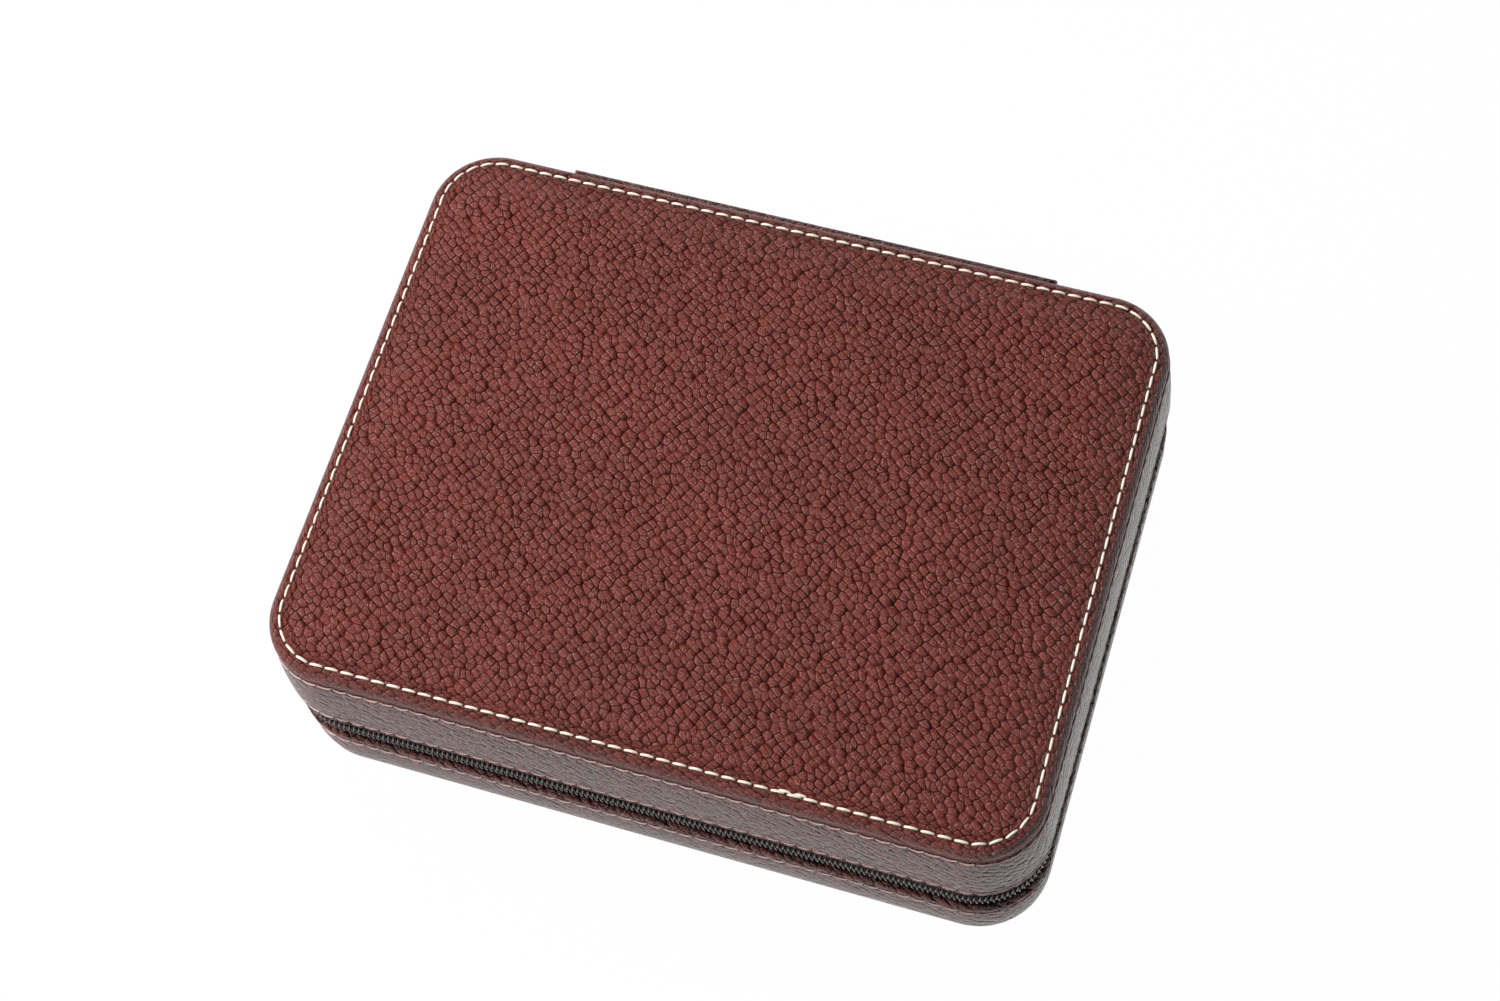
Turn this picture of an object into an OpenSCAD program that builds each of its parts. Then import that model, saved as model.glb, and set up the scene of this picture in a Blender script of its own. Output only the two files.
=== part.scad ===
// Zip-round travel case for eight wrist watches.
// Frame: origin at the centre of the base's footprint on the table, +X along the case,
// -Y to the front, +Y to the spine (the hinge side), +Z up. Millimetres.
// "Depth" (d) is the distance in from the outer face of the base's leather, seen from above.

/* [Case] */
// Length of the case over the base's leather
case_l = 251.8; // [225:0.1:300]
// Width of the case from front to back over the base's leather
case_w = 194; // [175:0.1:240]
// Radius of the four corners seen from above
corner_r = 23.8; // [22:0.1:28]
// Height of the stitched edge of the lid above the table
edge_z = 76.5; // [74:0.1:84]
// Rise of the padded top in the middle above its stitched edge
crown_rise = 2; // [0.5:0.1:4]

/* [Leather, board and lining] */
// Thickness of the leather
leather_t = 1.2; // [1:0.05:1.3]
// Thickness of the stiff board in the base and the lid
board_t = 2.2; // [1.6:0.1:2.4]
// Thickness of the velvet lining on its backing
lining_t = 0.7; // [0.5:0.05:0.8]
// Depth of the board's outer face in from the outer leather
board_d = 3.4; // [3.4:0.05:3.8]
// Gap left for glue between a panel and the next one
glue_gap = 0.05; // [0.02:0.01:0.1]

/* [Base] */
// Height of the top of the base's rolled rim
rim_z = 23.4; // [22:0.1:24]
// Radius of the base's lower outer edge
base_edge_r = 2.6; // [2:0.1:3]
// How far the base's band draws in at its lower edge and at its stitches
base_draw = 0.45; // [0.1:0.05:0.6]
// Height of the row of stitches below the base's rim
base_stitch_z = 19; // [18:0.1:19.5]
// Thickness of the leather panel under the case
bottom_t = 1.4; // [1.2:0.05:1.6]

/* [Lid] */
// Height of the lower edge of the lid's rolled rim
lid_rim_z = 39.7; // [39:0.1:41]
// Height of the row of stitches above the lid's rim
lid_stitch_z = 43; // [42.6:0.1:44]
// Height of the seam between the lid's side band and its top panel
lid_seam_z = 69.4; // [68:0.1:69.6]
// Depth of the top panel's edge in from the outer leather
lid_top_d = 2.3; // [1.8:0.1:2.6]
// Radius of the lid's rolled upper edge
shoulder_r = 4; // [3:0.1:4.2]
// Distance of the top row of stitches in from the top panel's edge
top_stitch_in = 4.1; // [4:0.1:5]
// Depth that the top row of stitches is pulled into the padding
top_stitch_sink = 0.4; // [0.1:0.05:0.6]

/* [Zip] */
// Height of the middle of the zip's chain
zip_z = 31; // [30.8:0.1:31.2]
// Pitch of the coil's teeth along one half of the chain
tooth_pitch = 1.69; // [1.6:0.01:1.9]
// Thickness of one tooth along the chain
tooth_t = 0.7; // [0.55:0.01:0.7]
// Width of the closed chain
chain_w = 7; // [6.4:0.1:7.2]
// Depth of the chain's outer face in from the outer leather
chain_d = 0.8; // [0.8:0.05:0.9]
// Distance that the teeth reach past the middle of the chain
tooth_reach = 0.5; // [0.3:0.05:0.6]
// Thickness of the zip's woven tape
tape_t = 0.5; // [0.3:0.05:0.5]
// Depth of the tape's outer face in from the outer leather
tape_d = 2.75; // [2.75:0.05:2.8]
// Distance that each half is parted beyond the slider, where the zip isn't closed
parted = 0.9; // [0.4:0.1:1]
// Distance of the slider's middle forward of the rear end of the left side's straight stretch
slider_in = 9.2; // [8.2:0.1:13]

/* [Slider and pull] */
// Length of the slider along the chain
slider_l = 11.6; // [10:0.1:12]
// Thickness of the slider's plates
plate_t = 1.1; // [0.9:0.05:1.2]
// Running clearance between the slider and the chain
slider_gap = 0.25; // [0.2:0.01:0.3]
// Height of the bridge above the slider's outer plate
bridge_h = 2.9; // [2.8:0.1:3.4]
// Length of the pull from its bar to its tip
pull_l = 31; // [26:0.5:36]
// Width of the pull
pull_w = 7; // [6:0.1:8]
// Thickness of the pull
pull_t = 1; // [0.8:0.05:1.2]

/* [Spine] */
// Length of the spine panel along the back
spine_l = 164; // [140:0.5:164]
// Distance that the spine panel stands out from the back
spine_out = 1.75; // [1.5:0.05:1.8]
// Thickness of the spine where it bends
web_t = 0.8; // [0.6:0.05:0.9]
// Radius of the spine panel's corners
spine_r = 4; // [2:0.1:5]

/* [Inside] */
// Thickness of the velvet-covered frame inside the base
frame_t = 2; // [1.6:0.1:2.2]
// Height of the frame's top edge
frame_top_z = 40; // [38:0.1:40]
// Height of the dividers' top edge
divider_top_z = 38; // [36:0.1:38]
// Thickness of the dividers
divider_t = 2.4; // [2:0.1:3]
// Clearance of the dividers at their ends and half-laps
lap_gap = 0.1; // [0.05:0.01:0.15]
// Length of a watch pillow from front to back
pillow_l = 81; // [74:0.5:82]
// Width of a watch pillow along the case
pillow_w = 48; // [44:0.5:48.5]
// Height of a watch pillow
pillow_h = 40; // [34:0.5:42]
// Thickness of the cushion inside the lid
cushion_t = 9.5; // [6:0.1:11]

/* [Hidden] */

$fn = 48;

// Colours, as the photograph shows them
wine = [0.36, 0.13, 0.13];
wine_dark = [0.28, 0.10, 0.11];
velvet = [0.10, 0.09, 0.10];
foam = [0.82, 0.79, 0.70];
card = [0.55, 0.45, 0.34];
nylon = [0.05, 0.05, 0.055];
steel = [0.62, 0.62, 0.64];

// Half sizes, and the centre of the front right corner's arc
half_l = case_l / 2;
half_w = case_w / 2;
corner_x = half_l - corner_r;
corner_y = half_w - corner_r;

// Rolled rims: a bead of two layers of leather
lower_bead_r = leather_t + 0.1;
lower_bead_d = lower_bead_r + 0.05;
upper_bead_r = leather_t;
upper_bead_d = upper_bead_r + 0.3;
bead_wrap = 222;
flap_h = 5.5;

// Floor of the base, from the table up
band_under_z = 0.25;
band_under_in = 4.3;
bottom_d = band_under_in + 0.2;
board_z = max(bottom_t, band_under_z + leather_t) + glue_gap;
floor_z = board_z + board_t;
lining_top_z = floor_z + glue_gap + lining_t;
stand_z = lining_top_z + glue_gap;
base_wall_z = rim_z - 1.1;
base_turn_z = base_wall_z + glue_gap;

// Depths of the layers inside the base
base_lining_d = board_d + board_t + glue_gap;
frame_d = base_lining_d + lining_t + 0.15;
tray_d = frame_d + frame_t;

// Layers of the lid
board_lean = 1.2;
lid_wall_z = lid_rim_z + 1.3;
lid_turn_z = lid_wall_z - glue_gap;
lid_board_top_z = edge_z - leather_t - 0.9;
lid_ceiling_z = lid_board_top_z - board_t;
cushion_top_z = lid_ceiling_z - glue_gap - lining_t - glue_gap;
pad_z = lid_board_top_z + 0.1;

// Zip
tape_low_z = base_stitch_z - 3.3;
tape_high_z = lid_rim_z + 6.3;
tape_split = 0.4;
chain_back_d = tape_d;
chain_half = chain_w / 2;
rail_d = chain_d + 0.5;
rail_w = 0.9;
left_run = 2 * corner_y;
front_run = 2 * corner_x;
spine_end = spine_l / 2;
stub_start = spine_end + 2.6;
stub_run = corner_x - stub_start;
slider_y = corner_y - slider_in;
slider_room = slider_l / 2 + 0.6;
corner_teeth = round((corner_r - (chain_d + chain_back_d) / 2) * PI / 2 / tooth_pitch);

// Hinge line of the spine
pivot_y = half_w + 0.9;
pivot_z = zip_z;
web_start = 1.2;
knuckle_r = web_t / 2;

// Slider, in its own axes: x along the chain, y across it, z out from the case
plate_out = plate_t - chain_d + slider_gap;
lip_in = chain_half + slider_gap;
lip_t = 1;
lip_low = tape_d - 0.3;
back_plate_d = tape_d + tape_t + slider_gap;
bridge_w = 2.4;
bridge_l = 6.4;
bar_r = 0.75;
bar_out = plate_out + bar_r + 0.25;

// Compartments: four along the case in two rows
columns = 4;
rows = 2;
tray_l = 2 * (half_l - tray_d);
tray_w = 2 * (half_w - tray_d);
slot_l = (tray_l - (columns - 1) * divider_t) / columns;
slot_w = (tray_w - (rows - 1) * divider_t) / rows;

// ---------------------------------------------------------------- shared shapes

// Points of an arc in a profile, from angle a0 to a1
function arc(centre, r, a0, a1, n) =
    [for (i = [0:n]) centre + r * [cos(a0 + (a1 - a0) * i / n), sin(a0 + (a1 - a0) * i / n)]];

// Depth of the lid's outer leather at height z: it leans in towards the top
function lid_face(z) =
    let (t = max(0, (z - lid_rim_z - upper_bead_r) / (lid_seam_z - lid_rim_z - upper_bead_r)))
    0.3 + (lid_top_d - 0.3) * pow(t, 2.2);

// Depth of the lid board's outer face at height z
function board_face(z) = board_d + board_lean * (z - lid_wall_z) / (lid_board_top_z - lid_wall_z);

// Footprint of the case at depth d
module plan(d) {
    square([case_l - 2 * d, 2 * corner_y], center = true);
    square([2 * corner_x, case_w - 2 * d], center = true);
    for (sx = [-1, 1], sy = [-1, 1])
        translate([sx * corner_x, sy * corner_y]) circle(corner_r - d);
}

// Upright wall between two depths
module wall(d_out, d_in, z0, z1) {
    translate([0, 0, z0]) linear_extrude(z1 - z0) difference() {
        plan(d_out);
        plan(d_in);
    }
}

// A [depth, height] profile taken once round the case
module sweep() {
    for (i = [0:3]) {
        run = i % 2 == 0 ? left_run : front_run;
        at = i % 2 == 0 ? corner_x : corner_y;
        rotate([0, 0, 90 * i]) translate([at, run / 2, 0]) {
            rotate([90, 0, 0]) linear_extrude(run) side_profile() children();
            rotate_extrude(angle = 90) side_profile() children();
        }
    }
}

module side_profile() {
    translate([corner_r, 0]) mirror([1, 0]) children();
}

// Points of the footprint at depth d and height z, for the padded pieces. Past the corner's
// own radius the corners keep a small one.
function ring(d, z, n = 9) =
    let (r = max(corner_r - d, 4), cx = half_l - d - r, cy = half_w - d - r)
    [for (q = [0:3], i = [0:n])
        let (a = 90 * q + 90 * i / n,
             sx = (q == 0 || q == 3) ? 1 : -1,
             sy = q < 2 ? 1 : -1)
        [sx * cx + r * cos(a), sy * cy + r * sin(a), z]];

// Closed skin over a list of rings with equal counts of points, from the lowest face up
module skin(rings) {
    n = len(rings[0]);
    last = len(rings) - 1;
    points = [for (one = rings) each one];
    sides = [for (k = [0:last - 1], i = [0:n - 1])
        let (a = k * n + i, b = k * n + (i + 1) % n)
        each [[a, b + n, b], [a, a + n, b + n]]];
    first_cap = [for (i = [1:n - 2]) [0, i, i + 1]];
    last_cap = [for (i = [1:n - 2]) [last * n, last * n + i + 1, last * n + i]];
    polyhedron(points, concat(sides, first_cap, last_cap));
}

// ---------------------------------------------------------------- base

module bottom_leather() {
    color(wine_dark) linear_extrude(bottom_t) plan(bottom_d);
}

module base_band_leather() {
    corner = [base_draw + base_edge_r, band_under_z + base_edge_r];
    inner = base_draw + leather_t;
    belly_h = base_stitch_z - corner[1];
    profile = concat(
        [[band_under_in, band_under_z]],
        arc(corner, base_edge_r, 270, 180, 6),
        [for (i = [1:11]) [base_draw * (1 - sin(180 * i / 12)), corner[1] + belly_h * i / 12]],
        [[base_draw + 0.15, base_stitch_z]],
        arc([lower_bead_d, rim_z - lower_bead_r], lower_bead_r, bead_wrap, 0, 12),
        [[lower_bead_d + lower_bead_r, rim_z - lower_bead_r - flap_h]],
        [[inner + 0.1, rim_z - lower_bead_r - flap_h]],
        arc(corner, base_edge_r - leather_t, 180, 270, 4),
        [[band_under_in, band_under_z + leather_t]]);
    color(wine) sweep() polygon(profile);
}

module base_side_foam() {
    foam_out = base_draw + leather_t + 0.15;
    foam_in = board_d - glue_gap;
    profile = [
        [foam_out, band_under_z + base_edge_r + 0.5],
        [foam_out + 0.7, board_z + 0.6],
        [foam_in - 0.2, board_z],
        [foam_in, board_z],
        [foam_in, tape_low_z - 0.2],
        [foam_out, tape_low_z - 0.2]];
    color(foam) sweep() polygon(profile);
}

module base_board() {
    color(card) {
        translate([0, 0, board_z]) linear_extrude(board_t) plan(board_d);
        wall(board_d, board_d + board_t, board_z, base_wall_z);
    }
}

// The lining covers the floor and the walls, and is turned over the board's upper edge
module base_lining() {
    color(velvet) {
        translate([0, 0, floor_z + glue_gap]) linear_extrude(lining_t) plan(base_lining_d);
        wall(base_lining_d, base_lining_d + lining_t, floor_z + glue_gap, base_turn_z + lining_t);
        wall(board_d, base_lining_d + lining_t / 2, base_turn_z, base_turn_z + lining_t);
    }
}

module tray_frame() {
    round_r = frame_t / 2;
    profile = concat(
        [[frame_d + frame_t, stand_z], [frame_d, stand_z]],
        arc([frame_d + round_r, frame_top_z - round_r], round_r, 180, 0, 8));
    color(velvet) sweep() polygon(profile);
}

module divider(length, laps, lap_from_top) {
    lap_h = (divider_top_z - stand_z) / 2 + lap_gap;
    lap_w = divider_t + 2 * lap_gap;
    difference() {
        translate([-length / 2, -divider_t / 2, stand_z]) {
            cube([length, divider_t, divider_top_z - divider_t / 2 - stand_z]);
            translate([0, divider_t / 2, divider_top_z - divider_t / 2 - stand_z])
                rotate([0, 90, 0]) cylinder(h = length, d = divider_t);
        }
        for (x = laps)
            translate([x - lap_w / 2, -divider_t, lap_from_top ? divider_top_z - lap_h : stand_z - 1])
                cube([lap_w, 2 * divider_t, lap_h + 1]);
    }
}

module long_divider() {
    laps = [for (i = [1:columns - 1]) divider_x(i)];
    color(velvet) divider(tray_l - 2 * lap_gap, laps, true);
}

function divider_x(i) = (i - columns / 2) * (slot_l + divider_t);

module cross_divider(i) {
    color(velvet) translate([divider_x(i), 0, 0]) rotate([0, 0, 90])
        divider(tray_w - 2 * lap_gap, [0], false);
}

// Soft block with crowned faces and sides drawn in between its corners
module watch_pillow(i) {
    column = (i - 1) % columns;
    row = floor((i - 1) / columns);
    plan_n = 4.5;
    side_n = 2.7;
    draw_in = 0.035;
    around = 32;
    middle = stand_z + pillow_h * 0.47;
    levels = [-52, -38, -20, 0, 20, 38, 54, 68, 80];
    function soft(v, n) = sign(v) * pow(abs(v), 2 / n);
    function height(f) = f < 0
        ? middle + (middle - stand_z) * soft(sin(f), side_n) / soft(sin(-levels[0]), side_n)
        : middle + (stand_z + pillow_h - middle) * soft(sin(f), side_n) / soft(sin(levels[8]), side_n);
    rings = [for (f = levels)
        let (s = soft(cos(f), side_n), z = height(f))
        [for (k = [0:around - 1])
            let (a = 360 * k / around, pinch = 1 - draw_in * (1 - abs(sin(2 * a))))
            [s * pinch * pillow_w / 2 * soft(cos(a), plan_n),
             s * pinch * pillow_l / 2 * soft(sin(a), plan_n), z]]];
    color(velvet)
        translate([(column - (columns - 1) / 2) * (slot_l + divider_t),
                   (row - (rows - 1) / 2) * (slot_w + divider_t), 0])
        skin(rings);
}

// ---------------------------------------------------------------- lid

module lid_top_leather() {
    edge_centre = [lid_top_d + shoulder_r, edge_z - shoulder_r];
    stitch_d = lid_top_d + top_stitch_in;
    dome_d = stitch_d + 1.3;
    dome_end = half_w - 7;
    function dome(d) = edge_z + crown_rise * (1 - pow(1 - (d - dome_d) / (half_w - dome_d), 3));
    steps = [for (t = [0, 0.03, 0.08, 0.16, 0.28, 0.45, 0.7, 1]) dome_d + t * (dome_end - dome_d)];
    outer = concat(
        [[lid_top_d, lid_seam_z + 0.1]],
        arc(edge_centre, shoulder_r, 180, 98, 5),
        [[stitch_d - 0.9, edge_z - 0.08], [stitch_d, edge_z - top_stitch_sink]],
        [for (d = steps) [d, dome(d)]]);
    inner = concat(
        [[lid_top_d + leather_t, lid_seam_z + 0.1]],
        arc(edge_centre, shoulder_r - leather_t, 180, 100, 4),
        [for (d = steps) [d, dome(d) - leather_t - 0.15]]);
    rings = concat(
        [for (i = [len(inner) - 1:-1:0]) ring(inner[i][0], inner[i][1])],
        [for (p = outer) ring(p[0], p[1])]);
    color(wine) skin(rings);
}

module lid_foam_pad() {
    pad_edge = lid_top_d + shoulder_r + 1.6;
    end = half_w - 8;
    pad_top = edge_z - leather_t - 0.35;
    function dome(d) = pad_top + crown_rise * (1 - pow(1 - (d - pad_edge) / (half_w - pad_edge), 3)) * 0.9;
    steps = [for (t = [0, 0.08, 0.2, 0.4, 0.7, 1]) pad_edge + t * (end - pad_edge)];
    color(foam) skin(concat([ring(pad_edge, pad_z)], [for (d = steps) ring(d, dome(d))]));
}

module lid_band_leather() {
    bead = [upper_bead_d, lid_rim_z + upper_bead_r];
    flap_top = bead[1] + flap_h;
    steps = 9;
    from_z = lid_stitch_z + 0.9;
    function at(i) = from_z + (lid_seam_z - 0.7 - from_z) * i / steps;
    profile = concat(
        [[upper_bead_d + upper_bead_r, flap_top]],
        arc(bead, upper_bead_r, 0, -bead_wrap, 12),
        [[lid_face(lid_stitch_z) + 0.5, lid_stitch_z]],
        [for (i = [0:steps]) [lid_face(at(i)), at(i)]],
        [[lid_top_d + 0.35, lid_seam_z], [lid_top_d + leather_t, lid_seam_z]],
        [for (i = [steps:-1:1]) if (at(i) > flap_top + 0.6) [lid_face(at(i)) + leather_t, at(i)]],
        [[lid_face(flap_top) + leather_t, flap_top]]);
    color(wine) sweep() polygon(profile);
}

module lid_side_foam() {
    low = lid_rim_z + upper_bead_r + flap_h + 0.2;
    high = lid_seam_z - 0.5;
    steps = 8;
    function at(i) = low + (high - low) * i / steps;
    profile = concat(
        [for (i = [0:steps]) [lid_face(at(i)) + leather_t + glue_gap, at(i)]],
        [for (i = [steps, 0]) [board_face(at(i)) - glue_gap, at(i)]]);
    color(foam) sweep() polygon(profile);
}

module lid_board() {
    top_d = board_d + board_lean;
    color(card) {
        sweep() polygon([
            [board_d, lid_wall_z],
            [top_d, lid_board_top_z],
            [top_d + board_t, lid_board_top_z],
            [board_d + board_t, lid_wall_z]]);
        translate([0, 0, lid_ceiling_z]) linear_extrude(board_t) plan(top_d + board_t / 2);
    }
}

// Velvet on the lid's walls and ceiling, turned over the board's lower edge
module lid_lining() {
    low = lid_turn_z;
    high = lid_ceiling_z - glue_gap;
    function at(z) = board_face(z) + board_t + glue_gap;
    color(velvet) {
        sweep() polygon([
            [board_d, low - lining_t],
            [board_d, low],
            [at(low), low],
            [at(high), high],
            [at(high) + lining_t, high],
            [at(low) + lining_t, low - lining_t]]);
        translate([0, 0, high - lining_t]) linear_extrude(lining_t) plan(at(high) + lining_t / 2);
    }
}

module lid_cushion() {
    edge = base_lining_d + lining_t + board_lean + 2.9;
    top = cushion_top_z;
    bottom = cushion_top_z - cushion_t;
    bulge = cushion_t / 3;
    end = half_w - 10;
    levels = [[2.5, 0], [0.6, 0.15], [0, 0.4], [0.5, 0.62], [2.2, 0.78], [6, 0.88], [14, 0.94], [32, 0.98]];
    color(velvet) skin(concat(
        [ring(end, bottom)],
        [for (i = [len(levels) - 1:-1:0]) ring(edge + levels[i][0] * bulge / 3.2, top - cushion_t * levels[i][1])]));
}

// ---------------------------------------------------------------- zip

// Strip that follows the case at depth d, with flat facets round the corners, and stops
// at the spine
module strip(d, t, z0, z1) {
    facets = corner_teeth;
    function edge(depth) =
        let (r = corner_r - depth, y = half_w - depth)
        concat(
            [[-spine_end - 0.4, y]],
            [for (q = [1:4], i = [0:facets])
                let (a = 90 * q + 90 * i / facets,
                     sx = (q == 1 || q == 2) ? -1 : 1,
                     sy = (q == 1 || q == 4) ? 1 : -1)
                [sx * corner_x + r * cos(a), sy * corner_y + r * sin(a)]],
            [[spine_end + 0.4, y]]);
    outside = edge(d);
    inside = edge(d + t);
    translate([0, 0, z0]) linear_extrude(z1 - z0)
        polygon(concat(outside, [for (i = [len(inside) - 1:-1:0]) inside[i]]));
}

module zip_tape_base() {
    color(nylon) strip(tape_d, tape_t, tape_low_z, zip_z - tape_split);
}

module zip_tape_lid() {
    color(nylon) strip(tape_d, tape_t, zip_z + tape_split, tape_high_z);
}

// Section of one tooth of the lower half: x is minus the depth, y is the height from the
// middle of the chain
module tooth_section() {
    cut = 0.5;
    polygon([
        [-chain_back_d, cut - chain_half],
        [-chain_back_d, tooth_reach - 0.3],
        [0.3 - chain_back_d, tooth_reach],
        [-chain_d - cut, tooth_reach],
        [-chain_d, tooth_reach - cut],
        [-chain_d, cut - chain_half],
        [-chain_d - cut, -chain_half],
        [cut - chain_back_d, -chain_half]]);
}

// Straight run of one half of the chain along y, with its outer face towards +x. Only the
// stretch between the two places in part is made. phase moves the teeth by a share of the pitch.
module straight_teeth(run, phase, part = [-500, 500], t = tooth_t) {
    n = max(1, round(run / tooth_pitch));
    pitch = run / n;
    low = max(part[0], -run / 2);
    high = min(part[1], run / 2);
    teeth = [for (i = [0:n - 1]) (i + phase) * pitch - run / 2];
    intersection() {
        translate([0, high, 0]) rotate([90, 0, 0]) linear_extrude(high - low) tooth_section();
        translate([-chain_back_d - 1, 0, 0]) rotate([90, 0, 90]) linear_extrude(chain_back_d + 2) {
            translate([low, -chain_half - 1]) square([high - low, 1 + rail_w]);
            for (y = teeth) if (y > low && y < high) translate([y - t / 2, -chain_half]) square([t, chain_w]);
        }
    }
}

// Quarter of one half of the chain round a corner, from +x to +y
module corner_run(phase) {
    step = 90 / corner_teeth;
    outer = corner_r - rail_d;
    inner = corner_r - chain_back_d;
    translate([0, 0, -chain_half + 0.1]) linear_extrude(rail_w - 0.1) polygon(concat(
        [for (i = [0:corner_teeth]) outer * [cos(i * step), sin(i * step)]],
        [for (i = [corner_teeth:-1:0]) inner * [cos(i * step), sin(i * step)]]));
    for (i = [0:corner_teeth - 1])
        rotate([0, 0, (i + phase) * step]) translate([corner_r, tooth_t / 2, 0])
            rotate([90, 0, 0]) linear_extrude(tooth_t) tooth_section();
}

// Lower half of the chain along the right side, the front, three corners and the right stub
module half_chain(phase) {
    translate([half_l, 0, 0]) straight_teeth(left_run, phase);
    rotate([0, 0, -90]) translate([half_w, 0, 0]) straight_teeth(front_run, phase);
    for (q = [0, 2, 3])
        translate([(q == 0 || q == 3 ? 1 : -1) * corner_x, (q == 0 ? 1 : -1) * corner_y, 0])
            rotate([0, 0, 90 * q]) corner_run(phase);
    translate([stub_start + stub_run / 2, half_w, 0]) rotate([0, 0, 90]) straight_teeth(stub_run, phase);
}

// Rear left stretch of the same half, between the slider and the spine
module parted_chain(phase) {
    translate([-half_l, 0, 0]) rotate([0, 0, 180])
        straight_teeth(left_run, phase, [-corner_y, -slider_y - slider_room]);
    translate([-corner_x, corner_y, 0]) rotate([0, 0, 90]) corner_run(phase);
    translate([-stub_start - stub_run / 2, half_w, 0]) rotate([0, 0, 90]) straight_teeth(stub_run, phase);
}

module zip_coil_base() {
    color(nylon) translate([0, 0, zip_z]) {
        half_chain(0.25);
        translate([-half_l, 0, 0]) rotate([0, 0, 180])
            straight_teeth(left_run, 0.25, [-slider_y - slider_room, corner_y]);
        translate([0, 0, -parted]) parted_chain(0.25);
    }
}

module zip_coil_lid() {
    color(nylon) translate([0, 0, zip_z]) mirror([0, 0, 1]) {
        half_chain(0.75);
        translate([-half_l, 0, 0]) rotate([0, 0, 180])
            straight_teeth(left_run, 0.75, [-slider_y + slider_room, corner_y]);
        translate([0, 0, -parted]) parted_chain(0.75);
    }
}

// Teeth of the upper half that are locked between the lower ones inside the slider
module zip_joined_teeth() {
    reach = slider_room - 0.3;
    locked_t = tooth_pitch - tooth_t - 0.03;
    color(nylon) translate([-half_l, 0, zip_z]) mirror([0, 0, 1]) rotate([0, 0, 180])
        straight_teeth(left_run, 0.75, [-slider_y - reach, -slider_y + reach], locked_t);
}

// Metal stop clamped over the tape's edge at the end of the chain, beside the spine
module zip_stop(side, top) {
    stop_l = 2.1;
    wrap = 0.3;
    thick = tape_d + tape_t + wrap - chain_d;
    split = 0.1;
    translate([side * (stub_start - stop_l / 2 - 0.15), half_w - tape_d - tape_t - wrap, zip_z])
        mirror([0, 0, top ? 1 : 0]) translate([-stop_l / 2, 0, -chain_half]) difference() {
            cube([stop_l, thick, chain_half - split]);
            translate([-1, wrap - glue_gap, -1])
                cube([stop_l + 2, tape_t + 2 * glue_gap, chain_half - tape_split + glue_gap + 1]);
        }
}

module zip_stops_base() {
    color(steel) for (side = [-1, 1]) zip_stop(side, false);
}

module zip_stops_lid() {
    color(steel) for (side = [-1, 1]) zip_stop(side, true);
}

// ---------------------------------------------------------------- spine

// Profile in [distance from the hinge line out, height] taken along the back
module along_back() {
    translate([-spine_l / 2, pivot_y, 0]) rotate([90, 0, 90]) linear_extrude(spine_l) children();
}

// Outline of the panel seen from behind, square at one height and rounded at the other
module panel_outline(z_square, z_round) {
    up = sign(z_round - z_square);
    z_centre = z_round - up * spine_r;
    translate([0, half_w + 10, 0]) rotate([90, 0, 0]) linear_extrude(30) {
        translate([-spine_l / 2, min(z_square, z_centre)]) square([spine_l, abs(z_centre - z_square)]);
        translate([spine_r - spine_l / 2, min(z_round, z_centre)]) square([spine_l - 2 * spine_r, spine_r]);
        for (s = [-1, 1]) translate([s * (spine_l / 2 - spine_r), z_centre]) circle(spine_r);
    }
}

module spine_base() {
    out = half_w + spine_out - pivot_y;
    back = half_w + glue_gap - pivot_y;
    low = 3;
    top = rim_z - 1;
    color(wine) {
        intersection() {
            along_back() polygon([
                [back, low + 0.4],
                [back + 0.5, low],
                [out - 0.6, low],
                [out, low + 0.6],
                [out, top - 0.5],
                [knuckle_r, top + 0.4],
                [-knuckle_r, top + 0.4],
                [back, top - 0.2]]);
            panel_outline(top + 1, low);
        }
        along_back() {
            translate([-knuckle_r, top - 1]) square([web_t, pivot_z - top + 1]);
            translate([0, pivot_z]) circle(knuckle_r);
        }
    }
}

module spine_lid() {
    out = half_w + spine_out - pivot_y;
    low = lid_rim_z + upper_bead_r;
    top = edge_z - 4;
    steps = 7;
    function at(i) = low + (lid_seam_z - low) * i / steps;
    function behind(d) = half_w - d + 2 * glue_gap - pivot_y;
    inner = [for (i = [0:steps]) [behind(lid_face(at(i))), at(i)]];
    top_out = half_w - lid_top_d + 2.6 - pivot_y;
    outer = concat(
        arc([top_out - 1.2, top - 1.2], 1.2, 90, 10, 4),
        [for (i = [4:-1:1]) [top_out + (out - top_out) * sin(90 * (5 - i) / 5), low + (top - 1.2 - low) * i / 5]],
        [[out, low + 1]]);
    color(wine) {
        intersection() {
            along_back() polygon(concat(
                inner,
                [[behind(lid_top_d), top]],
                outer,
                [[knuckle_r, low]]));
            panel_outline(low - 1, top);
        }
        along_back() translate([-knuckle_r, pivot_z + web_start]) square([web_t, low - pivot_z - web_start + 1]);
    }
}

module spine_lining_strip(z0, z1) {
    inset = spine_end - 1;
    translate([-inset, half_w - tape_d - 1.5, z0]) cube([2 * inset, lining_t, z1 - z0]);
}

module spine_lining_base() {
    color(velvet) spine_lining_strip(base_turn_z + lining_t + glue_gap, pivot_z - 0.3);
}

module spine_lining_lid() {
    color(velvet) spine_lining_strip(pivot_z + 0.3, lid_turn_z - lining_t - glue_gap);
}

// ---------------------------------------------------------------- slider and pull

// Puts a shape drawn in the slider's axes on the left side of the case, with +x of the
// slider towards the front
module on_left_side() {
    translate([-half_l, slider_y, zip_z]) rotate([90, 0, -90]) children();
}

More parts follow.
